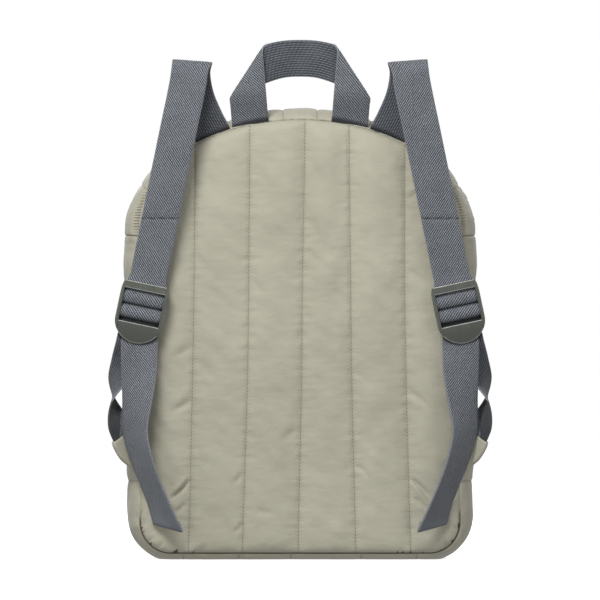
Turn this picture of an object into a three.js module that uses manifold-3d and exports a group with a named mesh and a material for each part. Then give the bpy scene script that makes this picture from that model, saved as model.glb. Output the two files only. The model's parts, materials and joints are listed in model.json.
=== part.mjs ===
// A small quilted backpack, closed and standing on its base, with its shoulder straps at -Y.
// Millimetres, +Z up, +X to the right of someone who faces the straps.
import * as THREE from "three";
import { mergeVertices } from "three/addons/utils/BufferGeometryUtils.js";
import Module from "manifold-3d";

const wasm = await Module();
wasm.setup();

// Bag outline over its padding, seen from the straps
const bagWidth = 289;
const bagHeight = 369;
const crownRise = 109; // height of the arched crown above the straight sides
const baseNarrowing = 2.5; // how much further in each side stands at the base
const baseCorner = 41;

// Gusset, the padded strip between the two panels
const gussetDepth = 88; // from seam to seam
const sidePuff = 12.3; // how far the padding stands out past the seams
const crownPuff = 10.6;
const basePuff = 5.7;
const baseSag = 3.2; // what the standing bag's weight presses flat under the base
const seamCorner = 24.5;
const seamCrownRise = 87.5;
const paddedWall = 7;
const gussetChannels = 27;
const gussetCrease = 3;

// Panels
const seamEdge = 3.2; // thickness of a panel at its seam
const edgeRoll = 22; // width over which a panel rises from its seam
const backPitch = 42.5; // between stitched lines at the crown
const backFlare = 3.2; // extra spacing of the lines at the base
const backPuff = 4;
const frontPitch = 43.5;
const frontPuff = 7.5;
const frontSwell = 7; // how far the contents push the front out

// Zip round the crown
const zipOffset = 14; // from the middle of the gusset towards the front
const zipWidth = 10;
const zipThickness = 2.4;
const zipRecess = 1.4;
const sliderLength = 12;
const sliderWidth = 8;
const sliderHeight = 3.6;
const pullLength = 22;
const pullWidth = 5;
const pullThickness = 1.6;

// Webbing and clearances
const webbingWidth = 30;
const webbingThickness = 2;
const clearance = 0.3;
const seamTuck = 6.5; // length of webbing held inside a seam
const seamSink = 1.4; // how far behind the seam plane that length lies

// Shoulder straps
const strapRoot = 70.7; // from the middle of the bag to the middle of a sewn strap
const strapLoopHeight = 60.5; // from the seam to the top fold
const strapLoopShift = 16.7; // how far outwards the fold leans
const strapFoldDepth = 9; // from the rear leg to the front leg at the fold
const strapStand = 27; // the front leg's largest distance from the seam plane
const turnBack = 50; // doubled length above the buckle
const partingRise = 6; // above the buckle, where its two layers part
const barSlack = 0.5; // how loosely webbing lies round the edges of a bar

// Ladder buckles
const buckleSide = 128.6; // from the middle of the bag
const buckleHeight = 205.5; // above the floor
const buckleStand = 19; // in front of the seam plane
const buckleLean = 12; // degrees, its top towards the middle of the bag
const windowWidth = 33.8;
const windowHeight = 27.2;
const railWidth = 2.7;
const topBarHeight = 6.2;
const lipHeight = 16;
const plateThickness = 2;
const plateFront = 4.6; // front of the top bar and lip, from the middle of the buckle
const buckleBack = 3.6;
const barHeight = 6.4;
const barThickness = 3.2;
const barSet = 1.2; // how far the bars lie behind the middle of the buckle
const strapBarUp = 7; // the bar that the shoulder strap goes round
const adjusterBarDown = 5; // the bar that the adjuster goes over

// Adjusters and the fabric tabs that hold them
const tabHeight = 101.6; // where the webbing meets its tab
const tabReach = 12.5; // from the side seam out to that place
const tabSeamLength = 31;
const tabSeamHeight = 84; // middle of the tab on the side seam
const tabThickness = 4;
const tailDrop = 147; // from the lip of the buckle to the end of the loose tail
const tailSlip = 4.6; // how far inwards the tail comes out of the buckle
const tailShift = 20; // how far the tail's end lies inwards of its start

// Carry handle
const handleRoot = 41; // from the middle of the bag to the middle of each leg
const handleHeight = 69.8; // from the crown seam to the top of the band
const handleFoldHeight = 44; // middle of the corner folds above the seam
const handleFoldSide = 44.5;
const handleFoldRadius = 3.4;
const handleFoldStand = 7; // from the seam plane to the middle of the folds
const handleArch = 4; // how much lower the band lies beside its folds

const halfDepth = gussetDepth / 2;

const silhouette = {
  half: bagWidth / 2,
  foot: bagWidth / 2 - baseNarrowing,
  floor: -baseSag,
  top: bagHeight,
  rise: crownRise,
  corner: baseCorner,
};
const seamLine = {
  half: silhouette.half - sidePuff,
  foot: silhouette.foot - sidePuff,
  floor: basePuff,
  top: bagHeight - crownPuff,
  rise: seamCrownRise,
  corner: seamCorner,
};

const QUARTERS = 4; // base run, corner, side and crown make half of an outline

// A point of an outline: place runs from 0 at the middle of the base, up the +X side,
// to 4 at the top of the crown, and down the other side to 8.
function pointOn(outline, place) {
  const mirrored = place > QUARTERS;
  const along = mirrored ? 2 * QUARTERS - place : place;
  const stretch = Math.min(Math.floor(along), QUARTERS - 1);
  const t = along - stretch;
  const spring = outline.top - outline.rise;
  const turn = (t * Math.PI) / 2;
  let x;
  let z;
  if (stretch === 0) {
    x = t * (outline.foot - outline.corner);
    z = outline.floor;
  } else if (stretch === 1) {
    x = outline.foot - outline.corner + outline.corner * Math.sin(turn);
    z = outline.floor + outline.corner * (1 - Math.cos(turn));
  } else if (stretch === 2) {
    const foot = outline.floor + outline.corner;
    x = THREE.MathUtils.lerp(outline.foot, outline.half, t * t * (3 - 2 * t));
    z = THREE.MathUtils.lerp(foot, spring, t);
  } else {
    x = outline.half * Math.cos(turn);
    z = spring + outline.rise * Math.sin(turn);
  }
  return new THREE.Vector2(mirrored ? -x : x, z);
}

// Lengths along the silhouette, measured from the middle of the base
const measureSteps = 800;
const measured = [0];
for (let i = 1; i <= measureSteps; i += 1) {
  const before = pointOn(silhouette, ((i - 1) * 2 * QUARTERS) / measureSteps);
  const here = pointOn(silhouette, (i * 2 * QUARTERS) / measureSteps);
  measured.push(measured[i - 1] + here.distanceTo(before));
}
const loopLength = measured[measureSteps];

// Turns a share of the way round the silhouette into a place on any of the outlines
function placeOfShare(share) {
  const wanted = (share - Math.floor(share)) * loopLength;
  const next = Math.max(1, measured.findIndex((length) => length >= wanted));
  const within = (wanted - measured[next - 1]) / (measured[next] - measured[next - 1]);
  return ((next - 1 + within) * 2 * QUARTERS) / measureSteps;
}

// Height of the panel seam above a given distance from the middle, on the crown
function crownSeamHeight(x) {
  const share = Math.min(Math.abs(x) / seamLine.half, 1);
  return seamLine.top - seamLine.rise + seamLine.rise * Math.sqrt(1 - share * share);
}

// Distance from the middle to the side seam at a given height between corner and crown
function sideSeam(z) {
  const low = seamLine.floor + seamLine.corner;
  const t = THREE.MathUtils.clamp((z - low) / (seamLine.top - seamLine.rise - low), 0, 1);
  return THREE.MathUtils.lerp(seamLine.foot, seamLine.half, t * t * (3 - 2 * t));
}

const outlineSteps = 18; // points in each of an outline's eight stretches
const seamPoints = Array.from({ length: 2 * QUARTERS * outlineSteps }, (_, i) =>
  pointOn(seamLine, i / outlineSteps),
);

// Closed bodies

function geometryOf(vertices, triangles) {
  const geometry = new THREE.BufferGeometry();
  const flat = vertices.flatMap((v) => [v.x, v.y, v.z]);
  geometry.setAttribute("position", new THREE.Float32BufferAttribute(flat, 3));
  geometry.setIndex(triangles.flat());
  return geometry;
}

function volumeOf(vertices, triangles) {
  const cross = new THREE.Vector3();
  return triangles.reduce(
    (sum, [a, b, c]) =>
      sum + vertices[a].dot(cross.crossVectors(vertices[b], vertices[c])) / 6,
    0,
  );
}

// Triangles over a flat section, in the order of its points
function capOf(section) {
  const normal = new THREE.Vector3();
  section.forEach((p, i) => {
    normal.add(new THREE.Vector3().crossVectors(p, section[(i + 1) % section.length]));
  });
  normal.normalize();
  const across = section[1].clone().sub(section[0]);
  across.addScaledVector(normal, -across.dot(normal)).normalize();
  const up = new THREE.Vector3().crossVectors(normal, across);
  const flat = section.map((p) => new THREE.Vector2(p.dot(across), p.dot(up)));
  return THREE.ShapeUtils.triangulateShape(flat, []);
}

// A closed body through sections that all have the same number of points
function loft(sections) {
  const count = sections[0].length;
  const vertices = sections.flat();
  const triangles = [];
  for (let s = 0; s + 1 < sections.length; s += 1) {
    for (let i = 0; i < count; i += 1) {
      const j = (i + 1) % count;
      const a = s * count + i;
      const b = s * count + j;
      triangles.push([a, b, b + count], [a, b + count, a + count]);
    }
  }
  const last = (sections.length - 1) * count;
  capOf(sections[0]).forEach(([a, b, c]) => triangles.push([c, b, a]));
  capOf(sections[sections.length - 1]).forEach(([a, b, c]) => {
    triangles.push([last + a, last + b, last + c]);
  });
  if (volumeOf(vertices, triangles) < 0) triangles.forEach((t) => t.reverse());
  return geometryOf(vertices, triangles);
}

function solidOf(geometry) {
  const bare = new THREE.BufferGeometry();
  bare.setAttribute("position", geometry.getAttribute("position"));
  if (geometry.index) bare.setIndex(geometry.index);
  const merged = mergeVertices(bare, 1e-4);
  return new wasm.Manifold(
    new wasm.Mesh({
      numProp: 3,
      vertProperties: new Float32Array(merged.attributes.position.array),
      triVerts: new Uint32Array(merged.index.array),
    }),
  );
}

function geometryOfSolid(solid) {
  const mesh = solid.getMesh();
  const positions = new Float32Array(mesh.numVert * 3);
  for (let i = 0; i < mesh.numVert; i += 1) {
    const from = i * mesh.numProp;
    positions.set(mesh.vertProperties.subarray(from, from + 3), i * 3);
  }
  const geometry = new THREE.BufferGeometry();
  geometry.setAttribute("position", new THREE.BufferAttribute(positions, 3));
  geometry.setIndex(new THREE.BufferAttribute(mesh.triVerts, 1));
  return geometry;
}

function without(geometry, cutters) {
  const cut = cutters.reduce((rest, cutter) => rest.subtract(solidOf(cutter)), solidOf(geometry));
  return geometryOfSolid(cut);
}

function mirrored(geometry) {
  const copy = geometry.clone();
  const position = copy.attributes.position;
  for (let i = 0; i < position.count; i += 1) position.setX(i, -position.getX(i));
  const index = copy.index;
  for (let i = 0; i < index.count; i += 3) {
    const second = index.getX(i + 1);
    index.setX(i + 1, index.getX(i + 2));
    index.setX(i + 2, second);
  }
  return copy;
}

// Gusset

const channelSteps = 4;
const creasePower = 0.6;
const bulgePower = 2.5;
const outerDepths = [-1, -0.93, -0.74, -0.4, 0, 0.4, 0.74, 0.93, 1]; // shares of half the depth
const innerDepths = [-1, -0.74, 0, 0.74, 1];

function bulge(depthShare) {
  return Math.sqrt(Math.max(0, 1 - Math.abs(depthShare) ** bulgePower));
}

// How deep the stitching pulls the padding in, from 0 on a crest to 1 on a stitched line
function creaseShare(share) {
  return 1 - Math.abs(Math.sin(Math.PI * share * gussetChannels)) ** creasePower;
}

// Where the silhouette stands, which way it faces and how far inside it the panel seam lies
function sectionAt(share) {
  const place = placeOfShare(share);
  const nearby = 1e-3;
  const here = pointOn(silhouette, place);
  const ahead = pointOn(silhouette, (place + nearby) % (2 * QUARTERS));
  const along = ahead.sub(here).normalize();
  const outward = new THREE.Vector2(along.y, -along.x);
  let toSeam = Infinity;
  seamPoints.forEach((a, i) => {
    const b = seamPoints[(i + 1) % seamPoints.length];
    const before = a.clone().sub(here).dot(along);
    const after = b.clone().sub(here).dot(along);
    if (before * after > 0 || before === after) return;
    const crossing = a.clone().lerp(b, before / (before - after));
    toSeam = Math.min(toSeam, Math.abs(here.clone().sub(crossing).dot(outward)));
  });
  return { here, outward, toSeam };
}

// A point of the gusset: below is the distance under its padded outside
function gussetPoint(share, depthShare, below) {
  const { here, outward, toSeam } = sectionAt(share);
  const swell = bulge(depthShare);
  const inwards = toSeam * (1 - swell) + gussetCrease * creaseShare(share) * swell + below;
  const point = here.clone().addScaledVector(outward, -inwards);
  return new THREE.Vector3(point.x, depthShare * halfDepth, Math.max(point.y, below));
}

function between(steps, from, to) {
  return [from, ...steps.filter((s) => s > from + 1e-3 && s < to - 1e-3), to];
}

function gussetPiece({ from, to, back, front, top = 0, bottom = paddedWall }) {
  const fine = Array.from(
    { length: 2 * gussetChannels * channelSteps + 1 },
    (_, i) => i / (gussetChannels * channelSteps) - 1,
  );
  const outer = between(outerDepths, back, front);
  const inner = between(innerDepths, back, front).reverse();
  const sections = between(fine, from, to).map((share) => [
    ...outer.map((depth) => gussetPoint(share, depth, top)),
    ...inner.map((depth) => gussetPoint(share, depth, bottom)),
  ]);
  return loft(sections);
}

const zipShare = Math.round(gussetChannels / 3) / gussetChannels; // the zip ends on a stitched line
const halfGapShare = clearance / 2 / loopLength;
const zipBack = (zipOffset - zipWidth / 2) / halfDepth;
const zipFront = (zipOffset + zipWidth / 2) / halfDepth;
const halfGapDepth = clearance / 2 / halfDepth;
const crownArc = { from: zipShare + halfGapShare, to: 1 - zipShare - halfGapShare };

const gussetLower = gussetPiece({
  from: -zipShare + halfGapShare,
  to: zipShare - halfGapShare,
  back: -1,
  front: 1,
});
const gussetUpperRearWhole = gussetPiece({ ...crownArc, back: -1, front: zipBack - halfGapDepth });
const gussetUpperFront = gussetPiece({ ...crownArc, back: zipFront + halfGapDepth, front: 1 });

// The zip's teeth and tapes with the closed slider and its hanging pull
function makeZip() {
  const tape = gussetPiece({
    ...crownArc,
    back: zipBack + halfGapDepth,
    front: zipFront - halfGapDepth,
    top: zipRecess,
    bottom: zipRecess + zipThickness,
  });
  const sliderShare = zipShare + (pullLength + sliderLength) / loopLength;
  const middle = (zipBack + zipFront) / 2;
  const foot = gussetPoint(sliderShare, middle, zipRecess + zipThickness / 2);
  const ahead = gussetPoint(sliderShare + sliderLength / loopLength / 2, middle, zipRecess);
  const lean = Math.atan2(foot.x - ahead.x, ahead.z - foot.z);
  const slider = new THREE.BoxGeometry(2 * sliderHeight, sliderWidth, sliderLength);
  const pull = new THREE.BoxGeometry(pullThickness, pullWidth, pullLength);
  const rise = sliderHeight + zipThickness / 2 - pullThickness / 2;
  pull.translate(rise, 0, -pullLength / 2);
  const parts = [slider, pull].map((g) => {
    g.rotateY(-lean);
    g.translate(foot.x, foot.y, foot.z);
    return solidOf(g);
  });
  return geometryOfSolid(parts.reduce((whole, part) => whole.add(part), solidOf(tape)));
}

// Panels

function distanceToSeam(x, z) {
  const here = new THREE.Vector2(x, z);
  return Math.min(...seamPoints.map((p) => p.distanceTo(here)));
}

const panelColumns = 4; // grid columns in each channel
const panelRows = 14;
const outerChannels = 3.3; // the grid reaches this many spacings to each side
const channelPower = 0.7;
const stitchedLines = 2; // on each side of the middle one

function channelShare(u) {
  const beyond = Math.abs(u) - stitchedLines;
  const phase = beyond > 0 ? Math.min(beyond, 0.5) : u;
  return Math.abs(Math.sin(Math.PI * phase)) ** channelPower;
}

function quiltedPanel({ side, pitch, flare, puff, swell, wall }) {
  const columns = Math.round(2 * outerChannels * panelColumns);
  const low = seamLine.floor - seamCorner / 2;
  const high = seamLine.top + seamCorner / 2;
  const outer = [];
  const inner = [];
  for (let row = 0; row <= panelRows; row += 1) {
    const z = THREE.MathUtils.lerp(low, high, row / panelRows);
    const spread = pitch + flare * (1 - row / panelRows) ** 2;
    for (let column = 0; column <= columns; column += 1) {
      const u = (column / columns) * 2 * outerChannels - outerChannels;
      const x = u * spread;
      const roll = Math.min(distanceToSeam(x, z) / edgeRoll, 1);
      const fade = 1 - (1 - roll) ** 2;
      const across = Math.min(Math.abs(x) / seamLine.half, 1);
      const up = THREE.MathUtils.clamp((z - seamLine.floor) / (seamLine.top - seamLine.floor), 0, 1);
      const belly = swell * (1 - across ** 2) * Math.sin(Math.PI * up) ** 0.5;
      const height = seamEdge + (puff * channelShare(u) + belly) * fade;
      const start = halfDepth + clearance;
      outer.push(new THREE.Vector3(x, side * (start + height), z));
      inner.push(new THREE.Vector3(x, side * (start + Math.max(0, height - wall)), z));
    }
  }
  const vertices = [...outer, ...inner];
  const across = columns + 1;
  const shift = outer.length;
  const triangles = [];
  const quad = (a, b, c, d) => triangles.push([a, b, c], [a, c, d]);
  for (let row = 0; row < panelRows; row += 1) {
    for (let column = 0; column < columns; column += 1) {
      const a = row * across + column;
      quad(a, a + 1, a + 1 + across, a + across);
      quad(shift + a + across, shift + a + 1 + across, shift + a + 1, shift + a);
    }
    const left = row * across;
    const right = left + columns;
    quad(left + across, shift + left + across, shift + left, left);
    quad(right, shift + right, shift + right + across, right + across);
  }
  for (let column = 0; column < columns; column += 1) {
    const bottom = column;
    const top = panelRows * across + column;
    quad(bottom, shift + bottom, shift + bottom + 1, bottom + 1);
    quad(top + 1, shift + top + 1, shift + top, top);
  }
  if (volumeOf(vertices, triangles) < 0) triangles.forEach((t) => t.reverse());
  const shape = new THREE.Shape(seamPoints);
  const depth = 2 * (halfDepth + swell + puff);
  const prism = new THREE.ExtrudeGeometry(shape, { depth, bevelEnabled: false });
  prism.rotateX(Math.PI / 2);
  prism.translate(0, side > 0 ? depth : 0, 0);
  return geometryOfSolid(solidOf(geometryOf(vertices, triangles)).intersect(solidOf(prism)));
}

const backPanel = quiltedPanel({
  side: -1,
  pitch: backPitch,
  flare: backFlare,
  puff: backPuff,
  swell: 0,
  wall: paddedWall,
});
const frontPanel = quiltedPanel({
  side: 1,
  pitch: frontPitch,
  flare: 0,
  puff: frontPuff,
  swell: frontSwell,
  wall: paddedWall,
});

// Webbing: a row is a place on its middle line, with the direction and length of its width.
// out is the distance in front of the seam plane, lean turns the width in the plane of the
// back, turn swings its far end towards the wearer, and span is a share of the width.

function widthDirection({ lean = 0, turn = 0 }) {
  const l = THREE.MathUtils.degToRad(lean);
  const t = THREE.MathUtils.degToRad(turn);
  return new THREE.Vector3(Math.cos(l) * Math.cos(t), -Math.cos(l) * Math.sin(t), Math.sin(l));
}

const ribbonSteps = 3; // sections from one row to the next

function ribbon(rows, { width = webbingWidth, thickness = webbingThickness, grow = 0 } = {}) {
  const centres = rows.map((r) => new THREE.Vector3(r.x, -halfDepth - r.out, r.z));
  const halves = rows.map((r) => {
    return widthDirection(r).multiplyScalar((width / 2) * (r.span ?? 1) + grow);
  });
  const middle = new THREE.CatmullRomCurve3(centres, false, "centripetal");
  const count = (rows.length - 1) * ribbonSteps;
  const sections = [];
  for (let i = 0; i <= count; i += 1) {
    const t = i / count;
    const row = Math.min(Math.floor(i / ribbonSteps), rows.length - 2);
    const ease = i / ribbonSteps - row;
    const centre = middle.getPoint(t);
    const half = halves[row].clone().lerp(halves[row + 1], ease);
    const tangent = middle.getTangent(t);
    if (grow > 0 && i === 0) centre.addScaledVector(tangent, -grow);
    if (grow > 0 && i === count) centre.addScaledVector(tangent, grow);
    const normal = new THREE.Vector3().crossVectors(tangent, half).normalize();
    normal.multiplyScalar(thickness / 2 + grow);
    sections.push([
      centre.clone().sub(half).sub(normal),
      centre.clone().add(half).sub(normal),
      centre.clone().add(half).add(normal),
      centre.clone().sub(half).add(normal),
    ]);
  }
  return loft(sections);
}

// Buckle frame: u to its +X side, up along it and out in front, from the middle of its window
const buckleAngle = THREE.MathUtils.degToRad(buckleLean);

function atBuckle(up, out, more = {}) {
  return {
    x: -buckleSide + up * Math.sin(buckleAngle),
    z: buckleHeight + up * Math.cos(buckleAngle),
    out: buckleStand + out,
    lean: -buckleLean,
    ...more,
  };
}

const onBar = barThickness / 2 + clearance + webbingThickness / 2;
const pastBar = barHeight / 2 + clearance + webbingThickness / 2;
const layer = webbingThickness + clearance;
const passing = plateFront - plateThickness - clearance - webbingThickness / 2;

// Shoulder strap of the -X side
const foldTop = {
  x: -strapRoot - strapLoopShift,
  z: crownSeamHeight(strapRoot) + strapLoopHeight,
};
const parting = windowHeight / 2 + topBarHeight + partingRise;
const strapEnd = atBuckle(parting, passing - barSlack);
const foldLean = -4;
const seamLean = 18;

// along is a share of the way from the fold to the buckle, stand a share of strapStand
const frontLegTable = [
  { along: 0.1, stand: 1, lean: -12 },
  { along: 0.34, stand: 1, lean: -10 },
  { along: 0.62, stand: 0.92, lean: -10.5 },
  { along: 0.78, stand: 0.84, lean: -11 },
  { along: 0.9, stand: 0.78, lean: -11.5 },
];

const frontLegLength = Math.hypot(foldTop.x - strapEnd.x, foldTop.z - strapEnd.z);

function frontLegRow({ along, stand, lean }, behind = 0) {
  return {
    x: THREE.MathUtils.lerp(foldTop.x, strapEnd.x, along),
    z: THREE.MathUtils.lerp(foldTop.z, strapEnd.z, along),
    out: strapStand * stand - behind,
    lean,
  };
}

const strapRise = (share, shift) => ({
  x: -strapRoot - strapLoopShift * shift,
  z: crownSeamHeight(strapRoot) + strapLoopHeight * share,
});
const strapRootRows = [
  { ...strapRise(0, 0), z: crownSeamHeight(strapRoot) - seamTuck, out: -seamSink, lean: seamLean },
  { ...strapRise(0.02, 0.02), out: -0.85 * seamSink, lean: seamLean },
  { ...strapRise(0.25, 0.3), out: 0.13 * strapStand, lean: seamLean * 0.8 },
];
const strapRows = [
  ...strapRootRows,
  { ...strapRise(0.6, 0.68), out: strapStand - 2.2 * strapFoldDepth, lean: seamLean * 0.5 },
  { ...strapRise(0.88, 0.94), out: strapStand - 1.5 * strapFoldDepth, lean: 0 },
  { x: foldTop.x, z: foldTop.z, out: strapStand - 0.75 * strapFoldDepth, lean: foldLean, span: 1.08 },
  { ...strapRise(0.9, 1.12), out: strapStand - 0.15 * strapFoldDepth, lean: foldLean * 2 },
  ...frontLegTable.map((row) => frontLegRow(row)),
  strapEnd,
  atBuckle(windowHeight / 2 + topBarHeight / 2, passing),
  atBuckle(strapBarUp + barHeight / 2, onBar - barSet),
  atBuckle(strapBarUp, onBar - barSet),
  atBuckle(strapBarUp - barHeight / 2, onBar - barSet - barSlack),
  atBuckle(strapBarUp - pastBar, -barSet),
  atBuckle(strapBarUp - barHeight / 2, barSlack - onBar - barSet),
  atBuckle(strapBarUp, -onBar - barSet),
  atBuckle(windowHeight / 2 + webbingThickness, -onBar - barSet),
  atBuckle(parting, passing - 3 * barSlack - layer),
  frontLegRow(frontLegTable[4], layer),
  frontLegRow({ ...frontLegTable[3], along: 1 - turnBack / frontLegLength }, layer),
];
const shoulderStrap = ribbon(strapRows);
const strapRootCutter = ribbon(strapRootRows, { grow: clearance });

// Ladder buckle of the -X side
const barSides = 12;

function makeBuckle() {
  const half = windowWidth / 2 + railWidth;
  const top = windowHeight / 2 + topBarHeight;
  const lipTop = -windowHeight / 2;
  const outline = new THREE.Shape();
  outline.moveTo(windowWidth / 2, top);
  outline.quadraticCurveTo(half, top, half, windowHeight / 4);
  outline.lineTo(half, lipTop + railWidth);
  outline.absellipse(0, lipTop + railWidth, half, lipHeight + railWidth, 0, -Math.PI, true);
  outline.lineTo(-half, windowHeight / 4);
  outline.quadraticCurveTo(-half, top, -windowWidth / 2, top);
  const body = new THREE.ExtrudeGeometry(outline, {
    depth: plateFront + buckleBack,
    bevelEnabled: false,
    curveSegments: 10,
  });
  body.translate(0, 0, -buckleBack);
  const box = (width, low, high, back, front) => {
    const g = new THREE.BoxGeometry(width, high - low, front - back);
    g.translate(0, (low + high) / 2, (back + front) / 2);
    return g;
  };
  const reach = 4 * lipHeight;
  const under = plateFront - plateThickness;
  const window = box(windowWidth, lipTop, windowHeight / 2, -reach, reach);
  const undercut = box(windowWidth, -reach, reach, -reach, under);
  const bar = (middle) => {
    const round = new THREE.CylinderGeometry(0.5, 0.5, 2 * half - railWidth, barSides);
    round.rotateZ(Math.PI / 2);
    round.scale(1, barHeight, barThickness);
    round.translate(0, middle, -barSet);
    return solidOf(round);
  };
  const frame = solidOf(body).subtract(solidOf(window)).subtract(solidOf(undercut));
  const whole = frame.add(bar(strapBarUp)).add(bar(-adjusterBarDown));
  const geometry = geometryOfSolid(whole);
  geometry.rotateX(Math.PI / 2);
  geometry.rotateY(buckleAngle);
  geometry.translate(-buckleSide, -halfDepth - buckleStand, buckleHeight);
  return geometry;
}

// Adjuster of the -X side: tab, strand behind the buckle, over its bar, loose tail.
// sway is a share of the webbing's width, aside from the straight line between the ends,
// and stand a share of how far the buckle stands in front of the seam plane.
const strandTable = [
  { down: 0, sway: 0, stand: 0.37, lean: -28, turn: 138, span: 0.87 },
  { down: 0.14, sway: -0.21, stand: 0.47, lean: -14, turn: 122 },
  { down: 0.38, sway: -0.42, stand: 0.55, lean: -5, turn: 93 },
  { down: 0.58, sway: -0.36, stand: 0.605, lean: -6, turn: 62 },
  { down: 0.8, sway: -0.12, stand: 0.685, lean: -10, turn: 26 },
];
const tailTable = [
  { down: 0.14, sway: -0.12, stand: 1.05, lean: -6, turn: 10 },
  { down: 0.3, sway: -0.33, stand: 1.13, lean: -3, turn: 38 },
  { down: 0.46, sway: -0.49, stand: 1.21, lean: 0, turn: 47 },
  { down: 0.6, sway: -0.47, stand: 1.22, lean: 2, turn: 50 },
  { down: 0.76, sway: -0.38, stand: 1.08, lean: 4, turn: 46 },
  { down: 0.9, sway: -0.16, stand: 1, lean: -4, turn: 40 },
  { down: 1, sway: 0, stand: 0.975, lean: -10, turn: 38 },
];
const lipEnd = -windowHeight / 2 - lipHeight;
const strandTop = atBuckle(lipEnd, -onBar - barSet);
const lipExit = atBuckle(lipEnd - webbingThickness, passing - 2 * barSlack, { lean: -8 });
const tailTop = { ...lipExit, x: lipExit.x + tailSlip };
const tabSeamX = -sideSeam(tabSeamHeight);
const tabJoint = { x: tabSeamX - tabReach, z: tabHeight };
const tailEnd = { x: tailTop.x + tailShift, z: tailTop.z - tailDrop };

function hangingRow(start, end, { down, sway, stand, ...rest }) {
  return {
    x: THREE.MathUtils.lerp(start.x, end.x, down) + sway * webbingWidth,
    z: THREE.MathUtils.lerp(start.z, end.z, down),
    out: buckleStand * stand,
    ...rest,
  };
}

const adjusterRows = [
  ...strandTable.map((row) => hangingRow(tabJoint, strandTop, row)),
  strandTop,
  atBuckle(-adjusterBarDown - 1.25 * barHeight, -onBar - barSet),
  atBuckle(-adjusterBarDown, -onBar - barSet),
  atBuckle(-adjusterBarDown + barHeight / 2, barSlack - onBar - barSet),
  atBuckle(-adjusterBarDown + pastBar, -barSet),
  atBuckle(-adjusterBarDown + barHeight / 2, onBar - barSet - barSlack),
  atBuckle(-adjusterBarDown, onBar - barSet),
  atBuckle(-windowHeight / 2, passing),
  tailTop,
  ...tailTable.map((row) => hangingRow(tailTop, tailEnd, row)),
];
const adjuster = ribbon(adjusterRows);
const adjusterEndCutter = ribbon(adjusterRows.slice(0, 3), { grow: clearance });

// Fabric tab of the -X side, from inside the side seam to past the webbing's end.
// aside and up are shares of the way from the seam to the joint with the webbing,
// and stand a share of how far the buckle stands in front of the seam plane.
const tabSunk = -tabThickness / 2 - clearance;
const tabTable = [
  { aside: 0.2, up: 0, stand: tabSunk / buckleStand, lean: -89, turn: 0, span: 1 },
  { aside: 0.42, up: 0.2, stand: 0.05, lean: -79, turn: 130, span: 0.86 },
  { aside: 0.78, up: 0.5, stand: 0.21, lean: -55, turn: 134, span: 0.88 },
  { aside: 1, up: 0.88, stand: 0.35, lean: -34, turn: 138, span: 0.9 },
  { aside: 1.04, up: 1.05, stand: strandTable[0].stand, lean: -28, turn: 138, span: 0.9 },
];
const tabRows = [
  { x: tabSeamX + seamTuck, z: tabSeamHeight, out: tabSunk, lean: -89, turn: 0 },
  ...tabTable.map(({ aside, up, stand, ...rest }) => ({
    x: THREE.MathUtils.lerp(tabSeamX, tabJoint.x, aside),
    z: THREE.MathUtils.lerp(tabSeamHeight, tabJoint.z, up),
    out: buckleStand * stand,
    ...rest,
  })),
];
const tabSize = { width: tabSeamLength, thickness: tabThickness };
const strapTab = without(ribbon(tabRows, tabSize), [adjusterEndCutter]);
const tabCutter = ribbon(tabRows, { ...tabSize, grow: 2 * clearance });

// Carry handle: the -X leg and its corner fold, then half of the band
const handleSeam = crownSeamHeight(handleRoot);
const handleRise = (share) => handleSeam + handleHeight * share;
const foldLineLean = 57; // of the soft crease at the corner
const foldSpan = 1.6;
const legRows = [
  { x: -handleRoot, z: handleSeam - seamTuck, out: -seamSink, lean: 6 },
  { x: -handleRoot, z: handleRise(0.02), out: -0.85 * seamSink, lean: 6 },
  { x: -handleRoot * 1.03, z: handleRise(0.2), out: 0.43 * handleFoldStand, lean: 5 },
];
const foldAcross = THREE.MathUtils.degToRad(foldLineLean + 90);
const foldMiddle = { x: -handleFoldSide, z: handleSeam + handleFoldHeight };
const foldRow = (aside, out) => ({
  x: foldMiddle.x + handleFoldRadius * aside * Math.cos(foldAcross),
  z: foldMiddle.z + handleFoldRadius * aside * Math.sin(foldAcross),
  out,
  lean: foldLineLean,
  span: foldSpan,
});
const cornerRows = [
  foldRow(-1, handleFoldStand + handleFoldRadius),
  foldRow(0.2, handleFoldStand),
  foldRow(-1.2, handleFoldStand - handleFoldRadius),
];
const bandMiddle = handleSeam + handleHeight - webbingWidth / 2;
const bandRows = [
  { x: -handleRoot * 0.62, z: bandMiddle - handleArch, out: 0.23 * handleFoldStand, lean: 72 },
  { x: -handleRoot * 0.3, z: bandMiddle - handleArch / 4, out: 0.09 * handleFoldStand, lean: 82 },
];
const bandTop = { x: 0, z: bandMiddle, out: 0, lean: 90 };
const handleHalf = [...legRows, ...cornerRows, ...bandRows];
const handleRows = [
  ...handleHalf,
  bandTop,
  ...handleHalf
    .slice()
    .reverse()
    .map((row) => ({ ...row, x: -row.x, lean: 180 - row.lean })),
];
const carryHandle = ribbon(handleRows);
const handleLegCutter = ribbon(legRows, { grow: clearance });

const gussetUpperRear = without(gussetUpperRearWhole, [
  strapRootCutter,
  mirrored(strapRootCutter),
  handleLegCutter,
  mirrored(handleLegCutter),
]);
const gussetBelow = without(gussetLower, [tabCutter, mirrored(tabCutter)]);

// Materials
const nylon = new THREE.MeshStandardMaterial({ color: 0xb0ab96, roughness: 0.7, metalness: 0 });
const webbing = new THREE.MeshStandardMaterial({ color: 0x5f646c, roughness: 0.85, metalness: 0 });
const plastic = new THREE.MeshStandardMaterial({ color: 0x5c5e56, roughness: 0.45, metalness: 0 });

function mesh(name, geometry, material) {
  const piece = new THREE.Mesh(geometry, material);
  piece.name = name;
  return piece;
}

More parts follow.
